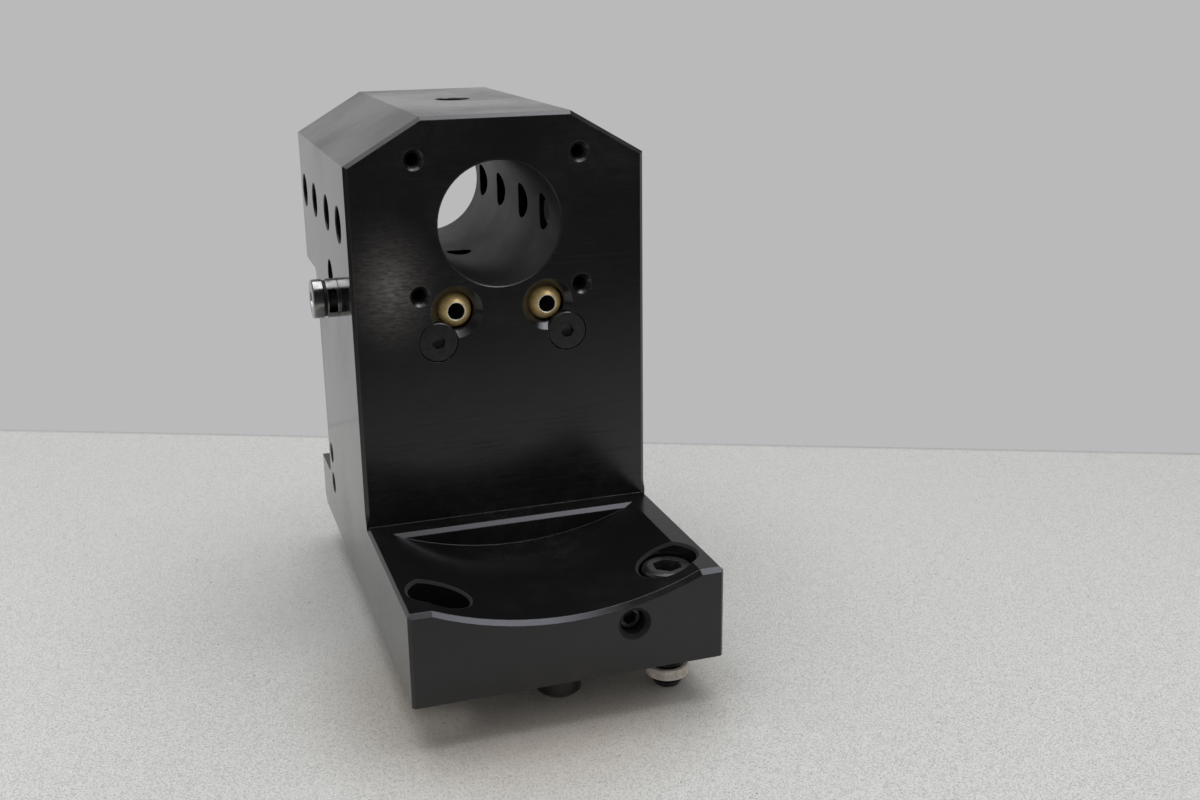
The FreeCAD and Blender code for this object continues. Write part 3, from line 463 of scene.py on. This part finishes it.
def brass_material():
    """Turned brass with fine rings, a painted highlight round the outlet, painted shade, black,
    inside it, and painted shade mixed with tarnish further out.
    """
    look = finishes()
    shader = Shader("turned_brass")
    low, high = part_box("coolant_ball_right")
    middle = (low + high) / 2
    x, _, z = shader.parts(shader.place())
    near = distance_from_line(x.size(), z, middle.x, middle.z)
    rings = (near * (2 * math.pi / (0.21 * MM))).sine()
    soft = shader.soft_normal(0.08)
    tarnish = shader.noise(1.9, 4.0, 0.6)
    grain = shader.noise(0.22, 2.0)
    # Painted shade: black, matt and non-metal inside the outlet, and in the inlet behind it too.
    outlet = near < 2.75 * MM
    # Painted shade: darker towards the ball's outer edge, where it sits in the cone recess; mixed
    # with random tarnish.
    outer = near.ramp(3.2 * MM, 5.6 * MM)
    turned = shader.mix(tarnish.ramp(0.42, 0.72) * 0.35 + outer * 0.55, look.brass,
                        look.brass_tarnish_and_shade)
    # Painted highlight: a bright ring round the outlet's edge.
    rim_highlighted = shader.mix(near < 3.05 * MM, turned, look.brass_rim_highlight)
    tone = shader.mix(outlet, rim_highlighted, look.brass_outlet_shade)
    gloss = (0.44 + tarnish.ramp(0.3, 0.7, -0.05, 0.10) + grain.ramp(0.3, 0.7, -0.03, 0.03)
             + outlet * 0.4)
    normal = shader.bump(rings * 0.5 + grain, 0.0022, soft)
    return shader.finish(Base_Color=tone, Roughness=gloss, Normal=normal,
                         Metallic=(1.0 - outlet) * 0.70)


def plastic_material():
    """Matt moulded plastic, greyed by handling."""
    look = finishes()
    shader = Shader("ring_plastic")
    grime = shader.noise(3.0, 4.0, 0.6)
    grain = shader.noise(0.18, 2.0)
    soft = shader.soft_normal(0.10)
    tone = shader.mix(grime.ramp(0.40, 0.75), look.plastic,
                      tuple(channel * 0.6 for channel in look.plastic))
    gloss = 0.48 + grime.ramp(0.3, 0.7, -0.05, 0.08)
    return shader.finish(Base_Color=tone, Roughness=gloss,
                         Normal=shader.bump(grain, 0.006, soft), IOR=1.46)


def rubber_material():
    """Black sealing rubber with a faint bloom."""
    look = finishes()
    shader = Shader("seal_rubber")
    bloom = shader.noise(2.0, 3.0, 0.6)
    grain = shader.noise(0.15, 2.0)
    bloomed = (0.035, 0.034, 0.033)
    tone = shader.mix(bloom.ramp(0.5, 0.8), look.rubber, bloomed)
    gloss = 0.62 + bloom.ramp(0.3, 0.7, -0.06, 0.08)
    return shader.finish(Base_Color=tone, Roughness=gloss,
                         Normal=shader.bump(grain, 0.008), IOR=1.5)


MATERIAL_MAKERS = {
    "black_steel": oxide_material,
    "screw_steel": screw_material,
    "bright_steel": bright_material,
    "ball_brass": brass_material,
    "ring_plastic": plastic_material,
    "seal_rubber": rubber_material,
}
made_materials = {}


def material_of(slot):
    """The material of a slot, made when it is first asked for."""
    if slot not in made_materials:
        made_materials[slot] = MATERIAL_MAKERS[slot]()
    return made_materials[slot]


def slot_of(node):
    """The record's material slot of a CAD node."""
    for part in frame["record"]["subparts"]:
        if part["node"] == node:
            return part["material_slot"]
    raise ValueError("no material slot for " + node)


def body_of(node):
    """The body that holds a CAD node."""
    for body, members in frame["record"]["behaviour"]["bodies"].items():
        if node in members:
            return body
    raise ValueError("no body holds " + node)


def dress(node):
    """Give a carried-over CAD node its finish."""
    data = frame["nodes"][node].data
    data.materials.clear()
    data.materials.append(material_of(slot_of(node)))
    data.shade_smooth()
    data.set_sharp_from_angle(angle=math.radians(32))


def lathe(bm, outline, steps=TURN_STEPS):
    """Turn an open outline of radius and height about the Z axis into a skin."""
    points = [bm.verts.new((radius, 0, height)) for radius, height in outline]
    edges = [bm.edges.new(pair) for pair in zip(points, points[1:])]
    bmesh.ops.spin(bm, geom=points + edges, cent=(0, 0, 0), axis=(0, 0, 1),
                   angle=2 * math.pi, steps=steps, use_merge=True, use_duplicate=False)
    bmesh.ops.remove_doubles(bm, verts=bm.verts, dist=1e-7)


def rim_edges(bm, height):
    """Open edges of the skin at that height."""
    return [edge for edge in bm.edges if edge.is_boundary
            and all(abs(corner.co.z - height) < 1e-7 for corner in edge.verts)]


def extruded(bm, edges, drop, narrowing=1.0):
    """Carry an open rim down by a drop, drawn in towards the Z axis, and give the new rim."""
    made = bmesh.ops.extrude_edge_only(bm, edges=edges)["geom"]
    corners = [item for item in made if isinstance(item, bmesh.types.BMVert)]
    bmesh.ops.scale(bm, vec=(narrowing, narrowing, 1), verts=corners)
    bmesh.ops.translate(bm, vec=(0, 0, -drop), verts=corners)
    return [item for item in made if isinstance(item, bmesh.types.BMEdge)
            and all(corner in corners for corner in item.verts)]


def close_rim(bm, rim, drop):
    """Close a rim with a shallow drilled cone."""
    face = bmesh.ops.edgeloop_fill(bm, edges=rim)["faces"]
    tip = bmesh.ops.poke(bm, faces=face)["verts"]
    bmesh.ops.translate(bm, vec=(0, 0, -drop), verts=tip)


def hexagon_radius(angle, across_flats):
    """Distance from the middle of a hexagon to its side at an angle, with a corner at nought."""
    wedge = math.pi / 3
    return across_flats / 2 / math.cos(angle % wedge - wedge / 2)


def drawn_to_hexagon(bm, edges, across_flats, drop):
    """Carry an open round rim down and draw it in to a hexagon, and give the new rim."""
    rim = extruded(bm, edges, drop)
    for corner in {corner for edge in rim for corner in edge.verts}:
        angle = math.atan2(corner.co.y, corner.co.x)
        radius = hexagon_radius(angle, across_flats)
        corner.co.xy = Vector((math.cos(angle), math.sin(angle))) * radius
    return rim


def sink_hexagon(bm, across_flats, depth):
    """Sink a hexagon socket with a lead-in and a drilled end from the open rim at height nought."""
    mouth = drawn_to_hexagon(bm, rim_edges(bm, 0), across_flats * (1 + SOCKET_LEAD), 0)
    throat = extruded(bm, mouth, across_flats * SOCKET_LEAD, 1 / (1 + SOCKET_LEAD))
    floor = extruded(bm, throat, depth - across_flats * SOCKET_LEAD)
    cone = extruded(bm, floor, 0, 0.80)
    close_rim(bm, cone, across_flats * 0.16)


def threaded(radius, top, bottom, pitch, form=OUTER_THREAD):
    """Outline of a thread from one height down to another, as a ridge for every pitch."""
    depth, flat, inner, inner_end = (part * pitch for part in form)
    count = int((top - bottom) / pitch)
    points = []
    for index in range(count):
        start = top - index * pitch
        points += [(radius, start), (radius, start - flat), (radius - depth, start - inner),
                   (radius - depth, start - inner_end)]
    points.append((radius, top - count * pitch))
    return points


def axis_along(direction):
    """Index of the axis that a direction lies along."""
    return max(range(3), key=lambda axis: abs(direction[axis]))


def facing(direction):
    """Turn that brings the Z axis to a direction."""
    return direction.to_track_quat("Z", "Y").to_matrix().to_4x4()


def drive_place(node, direction, turn=0.0):
    """Frame whose origin is the middle of a node's drive end, with Z out along the direction."""
    low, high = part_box(node)
    along = axis_along(direction)
    point = (low + high) / 2
    point[along] = high[along] if direction[along] > 0 else low[along]
    return Matrix.Translation(point) @ facing(direction) @ Matrix.Rotation(turn, 4, "Z")


def extent(node, direction):
    """Length of a node along a direction and its radius across it."""
    spans = [end - start for start, end in zip(*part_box(node))]
    total = spans.pop(axis_along(direction))
    return total, max(spans) / 2


def add_piece(bm, name, place, slot, body, nodes=(), sharp=32):
    """Turn a bmesh into a piece in its place, riding on a body."""
    bmesh.ops.transform(bm, matrix=place, verts=bm.verts)
    bmesh.ops.recalc_face_normals(bm, faces=bm.faces)
    mesh = bpy.data.meshes.new(name)
    bm.to_mesh(mesh)
    bm.free()
    mesh.materials.append(material_of(slot))
    mesh.shade_smooth()
    mesh.set_sharp_from_angle(angle=math.radians(sharp))
    piece = bpy.data.objects.new(name, mesh)
    bpy.context.scene.collection.objects.link(piece)
    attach(piece, body)
    if nodes:
        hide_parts(*nodes)


def turned(outline, steps=TURN_STEPS):
    """A new bmesh with an outline turned about the Z axis."""
    bm = bmesh.new()
    lathe(bm, outline, steps)
    return bm


def replace_node(bm, node, suffix, direction, turn=0.0, sharp=32):
    """Put a remade fastener where its CAD node is, on the same body and with the same slot."""
    add_piece(bm, node + suffix, drive_place(node, direction, turn), slot_of(node),
              body_of(node), [node], sharp)


def set_screw(node, direction, key, pitch, turn):
    """Headless screw: chamfered drive end with its socket, thread and a hollowed point."""
    total, radius = extent(node, direction)
    chamfer = pitch * 0.62
    end = chamfer - total
    outline = [(radius - chamfer, 0)]
    outline += threaded(radius, -chamfer, end + pitch * 0.5, pitch)
    point = radius * 0.70
    outline += [(radius * 0.93, end), (point, -total), (point * 0.88, -total),
                (point * 0.62, -total + radius * 0.12), (0, -total + radius * 0.30)]
    bm = turned(outline)
    sink_hexagon(bm, key, min(key, total * 0.55))
    replace_node(bm, node, "_threaded", direction, turn)


class HOLDER_OT_dress_block(bpy.types.Operator):
    """Give the block, the pins, the rings and the seals their finishes"""
    bl_idname = "holder.dress_block"
    bl_label = "Dress block"

    def execute(self, context):
        for node in ("holder_block", "locating_pin_front", "locating_pin_rear", "side_jet_ring",
                     "side_jet_washer", "coolant_inlet_seal"):
            dress(node)
        for node in frame["nodes"]:
            if node.startswith(("ball_seat_ring", "coolant_ball")):
                dress(node)
        return {"FINISHED"}


class HOLDER_OT_add_clamp_screws(bpy.types.Operator):
    """Thread the nine bar clamp screws and cut their sockets"""
    bl_idname = "holder.add_clamp_screws"
    bl_label = "Add clamp screws"

    def execute(self, context):
        sizes = screws()
        for side, direction in (("left", LEFT), ("right", RIGHT)):
            for number in range(1, 5):
                set_screw("bar_clamp_screw_%s_%d" % (side, number), direction, sizes.clamp_key,
                          sizes.pitch_m12, turn=0.35 * number)
        set_screw("bar_clamp_screw_top", UP, sizes.clamp_key, sizes.pitch_m12, turn=0.2)
        return {"FINISHED"}


class HOLDER_OT_add_plugs(bpy.types.Operator):
    """Thread the coolant plugs and the flange's adjusting screw"""
    bl_idname = "holder.add_plugs"
    bl_label = "Add plugs"

    def execute(self, context):
        sizes = screws()
        set_screw("gallery_plug", RIGHT, sizes.plug_key, sizes.pitch_m10, turn=0.1)
        set_screw("port_plug", LEFT, sizes.clamp_key, sizes.pitch_m12, turn=0.5)
        set_screw("flange_adjusting_screw", FRONT, sizes.adjuster_key, sizes.pitch_m8, turn=0.3)
        return {"FINISHED"}


def ball_clamp_screw(node, turn):
    """Screw with a thin disc head, whose shank is 12 mm long."""
    total, head = extent(node, FRONT)
    shank = head * 0.468
    thickness = total - 12.0 * MM
    outline = [(head - 0.9 * MM, 0), (head - 0.30 * MM, -0.02 * MM), (head, -0.32 * MM),
               (head, -thickness), (shank, -thickness)]
    outline += threaded(shank, -thickness - 0.6 * MM, -total + 0.9 * MM, screws().pitch_m6)
    outline += [(shank - 0.8 * MM, -total), (0, -total)]
    bm = turned(outline)
    sink_hexagon(bm, screws().ball_key, 2.0 * MM)
    replace_node(bm, node, "_turned", FRONT, turn)


class HOLDER_OT_add_ball_screws(bpy.types.Operator):
    """Turn the flush disc-headed screws that clamp the coolant balls"""
    bl_idname = "holder.add_ball_screws"
    bl_label = "Add ball clamp screws"

    def execute(self, context):
        ball_clamp_screw("ball_clamp_screw_left", 0.26)
        ball_clamp_screw("ball_clamp_screw_right", 0.05)
        return {"FINISHED"}


class HOLDER_OT_add_side_jet(bpy.types.Operator):
    """Turn the side jet's hollow screw with its rounded head"""
    bl_idname = "holder.add_side_jet"
    bl_label = "Add side jet"

    def execute(self, context):
        node = "side_jet_screw"
        total, head = extent(node, LEFT)
        shank = head * 0.608
        thickness = total - 22.0 * MM
        rim = 0.7 * MM
        corner = [(head - rim + rim * math.sin(math.radians(15 * step)),
                   -rim + rim * math.cos(math.radians(15 * step))) for step in range(7)]
        foot = 0.25 * MM
        outline = corner + [(head, -thickness + foot), (head - foot, -thickness),
                            (shank, -thickness), (shank, -thickness - 5.2 * MM)]
        outline += threaded(shank, -thickness - 5.4 * MM, -total + 1.2 * MM, screws().pitch_m8)
        outline += [(shank - 1.0 * MM, -total), (2.0 * MM, -total), (2.0 * MM, -thickness - MM),
                    (0, -thickness - MM)]
        bm = turned(outline)
        sink_hexagon(bm, screws().jet_key, 2.5 * MM)
        replace_node(bm, node, "_polished", LEFT, 0.4)
        return {"FINISHED"}


def knurl(bm, radius, top, bottom, steps=TURN_STEPS):
    """Press every other line of a turned skin inwards between two heights."""
    step = 2 * math.pi / steps
    lines = [corner for corner in bm.verts
             if bottom - 1e-7 < corner.co.z < top + 1e-7
             and abs(corner.co.xy.length - radius) < 1e-6
             and round(math.atan2(corner.co.y, corner.co.x) / step) % 2]
    shrink = 1 - screws().knurl_depth / radius
    bmesh.ops.scale(bm, vec=(shrink, shrink, 1), verts=lines)


def retaining_ring(node):
    """Moulded ring with fine ribs round its upper part and a plain band below."""
    height, radius = extent(node, UP)
    steps = 120
    inner = radius * 0.752
    soft = 0.3 * MM
    outline = [(inner + soft, 0), (radius - soft, 0), (radius, -soft),
               (radius, -soft * 1.4), (radius, 1.0 * MM - height), (radius, 0.9 * MM - height),
               (radius, soft - height), (radius - soft, -height), (inner + soft, -height),
               (inner, soft - height), (inner, -soft), (inner + soft, 0)]
    bm = turned(outline, steps)
    knurl(bm, radius, -soft * 1.2, 0.95 * MM - height, steps)
    replace_node(bm, node, "_ribbed", UP, sharp=20)


def mounting_bolt(node, turn):
    """Socket head bolt with a knurled head, 10 mm high."""
    total, head = extent(node, UP)
    height = 10 * MM
    shank = head * 0.625
    outline = [(head - 1.9 * MM, 0), (head - 1.1 * MM, -0.02 * MM),
               (head - 0.4 * MM, -0.45 * MM), (head - 0.02 * MM, -1.3 * MM),
               (head, -1.6 * MM), (head, -height + 0.9 * MM),
               (head - 0.25 * MM, -height + 0.5 * MM), (head - 0.35 * MM, -height),
               (shank, -height), (shank - 0.05 * MM, -height - 4 * MM)]
    outline += threaded(shank, -height - 4.2 * MM, -total + 1.3 * MM, screws().pitch_m10)
    outline += [(shank - 0.9 * MM, -total), (0, -total)]
    bm = turned(outline)
    knurl(bm, head, -1.5 * MM, -height + 0.9 * MM)
    sink_hexagon(bm, screws().bolt_key, 5.4 * MM)
    replace_node(bm, node, "_knurled", UP, turn)


class HOLDER_OT_add_bolts(bpy.types.Operator):
    """Thread the mounting bolts, knurl their heads and rib their rings"""
    bl_idname = "holder.add_bolts"
    bl_label = "Add mounting bolts"

    def execute(self, context):
        for index, place in enumerate(("front_right", "rear_left", "rear_right")):
            mounting_bolt("mounting_bolt_" + place, 0.4 + index)
            retaining_ring("bolt_retaining_ring_" + place)
        return {"FINISHED"}


def tap_hole(name, mouth, direction, radius, depth, pitch):
    """Thread ridges on a hole's wall, as a thin closed sleeve sunk into it."""
    skin = 0.10 * MM
    outline = threaded(radius - 0.02 * MM, -0.2 * MM, -depth, pitch, INNER_THREAD)
    outer = [(radius + skin, outline[-1][1]), (radius + skin, outline[0][1])]
    bm = turned(outline + outer + outline[:1], steps=48)
    add_piece(bm, name, Matrix.Translation(mouth) @ facing(direction), "black_steel", "holder")


class HOLDER_OT_tap_holes(bpy.types.Operator):
    """Show the threads in the accessory holes and in the side pair"""
    bl_idname = "holder.tap_holes"
    bl_label = "Tap holes"

    def execute(self, context):
        sizes = screws()
        mounts = {mount["name"]: mount for mount in frame["record"]["mounts"]}
        accessory = mounts["accessory_holes"]
        centre = Vector(accessory["pos_m"])
        across = accessory["dims"]["spacing_x_mm"] * MM / 2
        up = accessory["dims"]["spacing_y_mm"] * MM / 2
        for row, level in (("lower", -1), ("upper", 1)):
            for side, sign in (("left", -1), ("right", 1)):
                mouth = centre + Vector((across * sign, 0, up * level))
                tap_hole("accessory_thread_%s_%s" % (row, side), mouth, FRONT,
                         accessory["dims"]["hole_r_mm"] * MM, 13 * MM, sizes.pitch_m6)
        pair = mounts["side_threaded_pair"]
        middle = Vector(pair["pos_m"])
        step = pair["dims"]["spacing_y_mm"] * MM / 2
        for level, sign in (("lower", -1), ("upper", 1)):
            tap_hole("side_thread_" + level, middle + Vector((0, 0, step * sign)), LEFT,
                     pair["dims"]["hole_r_mm"] * MM, 15 * MM, sizes.pitch_m8)
        return {"FINISHED"}


def floor_material():
    """Pale matt table with fine dark grains, a painted shadow round the holder's foot, and painted
    shade along its far edge and growing towards it; the steel sees its near end dim, a painted shade
    seen only in reflections.
    """
    look = studio()
    shader = Shader("table")
    pits = shader.noise(0.42, 2.0, 0.6).ramp(0.50, 0.66)
    crumbs = shader.noise(1.7, 1.0, 0.4).ramp(0.79, 0.82)
    speckle = 1.0 - pits * 0.30 - crumbs * 0.45
    pebbles = shader.noise(0.7, 3.0, 0.7)
    cloud = shader.noise(160, 3.0).ramp(0.3, 0.7, 0.98, 1.0)
    x, y, _ = shader.parts(shader.place())
    edge_gap = (look.floor_end[0] + x * look.floor_end[1]) - y
    # Painted shade: a dark line along the table's far edge, where it meets the backdrop.
    far_edge_shadow = 1.0 - edge_gap.ramp(0.5 * MM, 4 * MM, 0.30, 0.0)
    # Painted shade: the table gets darker towards its far edge.
    painted_falloff = edge_gap.ramp(0.0, 0.55, 0.78, 1.0)
    # Painted shadow round the holder's foot.
    under_block_shadow = distance_from_line(x, y, *FOOT_PLACE).ramp(35 * MM, 75 * MM, 1.0, 0.0)
    shaded = shader.mix(under_block_shadow, look.floor, look.floor_painted_shadow)
    tone = shader.add("VectorMath", {"operation": "SCALE"},
                      {0: shaded, "Scale": speckle * cloud * far_edge_shadow * painted_falloff})
    dim = (0.02, 0.02, 0.02)
    bounce = shader.add("LightPath", output="Is Glossy Ray")
    near_end = (y + x * 0.5).ramp(-0.34, -0.06, 0.90, 0.0)
    seen = shader.mix(bounce * near_end, tone, dim)
    normal = shader.bump(pebbles - pits * 0.5, 0.16)
    return shader.finish(Base_Color=seen, Roughness=0.75, Specular_IOR_Level=0.2, Normal=normal)


def light_world():
    """Even studio light; the backdrop's own tone shows to the camera, and dims in front in gloss."""
    look = studio()
    shader = Shader("studio", "worlds")
    camera = shader.add("LightPath", output="Is Camera Ray")
    gloss = shader.add("LightPath", output="Is Glossy Ray")
    through = shader.add("LightPath", output="Is Transmission Ray")
    way = shader.add("TexCoord", output="Generated")
    _, ahead, up = shader.parts(way)
    lined_up = shader.add("VectorMath", {"operation": "DOT_PRODUCT"},
                          {0: way, 1: tuple(look.sky_way)}, output="Value")
    ceiling = lined_up.ramp(0.93, 0.98) * (1.0 - camera)
    room = (ahead.ramp(-0.55, 0.05, look.front_gloss, look.wall_gloss)
            * up.ramp(0.22, 0.50, 1.0, 0.42))
    level = camera + (1.0 - camera) * room + ceiling * look.sky_gloss
    tone = shader.mix(ceiling, look.wall, look.sky)
    fill = shader.add("Background", values={
        "Color": (0.98, 0.99, 1.0, 1), "Strength": look.fill_level})
    wall = shader.add("Background", values={"Color": tone, "Strength": level})
    seen = camera.maths("MAXIMUM", camera, gloss)
    both = camera.maths("MAXIMUM", seen, through)
    surface = shader.add("MixShader", values={0: both, 1: fill, 2: wall})
    shader.add("OutputWorld", values={"Surface": surface})
    bpy.context.scene.world = shader.owner


def place_camera():
    """Camera at the photograph's viewing angle."""
    look = studio()
    bearing, fall, roll = look.camera_bearing, look.camera_fall, look.camera_roll
    ahead = Vector((math.sin(bearing) * math.cos(fall), math.cos(bearing) * math.cos(fall),
                    -math.sin(fall)))
    level = Vector((math.cos(bearing), -math.sin(bearing), 0))
    upright = level.cross(ahead)
    right = level * math.cos(roll) + upright * math.sin(roll)
    up = upright * math.cos(roll) - level * math.sin(roll)
    data = bpy.data.cameras.new("camera")
    data.lens = look.camera_lens
    data.sensor_width = 36
    data.clip_start = 0.01
    camera = bpy.data.objects.new("camera", data)
    camera.matrix_world = Matrix((
        (right.x, up.x, -ahead.x, look.camera_place[0]),
        (right.y, up.y, -ahead.y, look.camera_place[1]),
        (right.z, up.z, -ahead.z, look.camera_place[2]),
        (0, 0, 0, 1)))
    bpy.context.scene.collection.objects.link(camera)
    bpy.context.scene.camera = camera


def lay_table(height):
    """Wide flat table, cut off along its far edge."""
    look = studio()
    bm = bmesh.new()
    bmesh.ops.create_grid(bm, x_segments=1, y_segments=1, size=6.0)
    bmesh.ops.translate(bm, vec=(0, 0, height), verts=bm.verts)
    everything = list(bm.verts) + list(bm.edges) + list(bm.faces)
    away = Vector((-look.floor_end[1], 1, 0))
    bmesh.ops.bisect_plane(bm, geom=everything, plane_co=(0, look.floor_end[0], 0),
                           plane_no=away, clear_outer=True)
    mesh = bpy.data.meshes.new("table")
    bm.to_mesh(mesh)
    bm.free()
    mesh.materials.append(floor_material())
    table = bpy.data.objects.new("table", mesh)
    bpy.context.scene.collection.objects.link(table)


def hang_softbox(table_height):
    """Wide soft lamp above the table, facing down."""
    look = studio()
    lamp_data = bpy.data.lights.new("softbox", "AREA")
    lamp_data.size = look.lamp_width
    lamp_data.energy = look.lamp_power
    lamp_data.color = (0.96, 0.98, 1.0)
    lamp = bpy.data.objects.new("softbox", lamp_data)
    lamp.location = (*look.lamp_place, table_height + look.lamp_height)
    bpy.context.scene.collection.objects.link(lamp)


class HOLDER_OT_set_stage(bpy.types.Operator):
    """Make the table, the light and the camera"""
    bl_idname = "holder.set_stage"
    bl_label = "Set stage"

    def execute(self, context):
        table_height = CAD_BOX[0].z
        lay_table(table_height)
        hang_softbox(table_height)
        light_world()
        place_camera()
        context.scene.view_settings.view_transform = "Standard"
        return {"FINISHED"}


OPERATORS = (
    HOLDER_OT_set_stage,
    HOLDER_OT_dress_block,
    HOLDER_OT_add_clamp_screws,
    HOLDER_OT_add_plugs,
    HOLDER_OT_add_ball_screws,
    HOLDER_OT_add_side_jet,
    HOLDER_OT_add_bolts,
    HOLDER_OT_tap_holes,
)


class HOLDER_PT_panel(bpy.types.Panel):
    """Lists the steps that build the holder's looks"""
    bl_idname = "HOLDER_PT_panel"
    bl_label = "Tool holder"
    bl_space_type = "VIEW_3D"
    bl_region_type = "UI"
    bl_category = "Tool holder"

    def draw(self, context):
        for operator in OPERATORS:
            self.layout.operator(operator.bl_idname)


GROUPS = (
    ("holder_screws", HolderScrewSizes),
    ("holder_finishes", HolderFinishes),
    ("holder_studio", HolderStudio),
)


def register():
    """Register the sizes, the steps and the panel."""
    for name, group in GROUPS:
        bpy.utils.register_class(group)
        setattr(bpy.types.Scene, name, PointerProperty(type=group))
    for item in (*OPERATORS, HOLDER_PT_panel):
        bpy.utils.register_class(item)


def unregister():
    """Take back what register has done."""
    for item in (HOLDER_PT_panel, *reversed(OPERATORS)):
        bpy.utils.unregister_class(item)
    for name, group in reversed(GROUPS):
        delattr(bpy.types.Scene, name)
        bpy.utils.unregister_class(group)


def run_operator(idname):
    """Call an operator by its name."""
    group, name = idname.split(".")
    getattr(getattr(bpy.ops, group), name)()


def main():
    """Build the holder's looks."""
    register()
    for operator in OPERATORS:
        run_operator(operator.bl_idname)


if __name__ == "__main__":
    main()
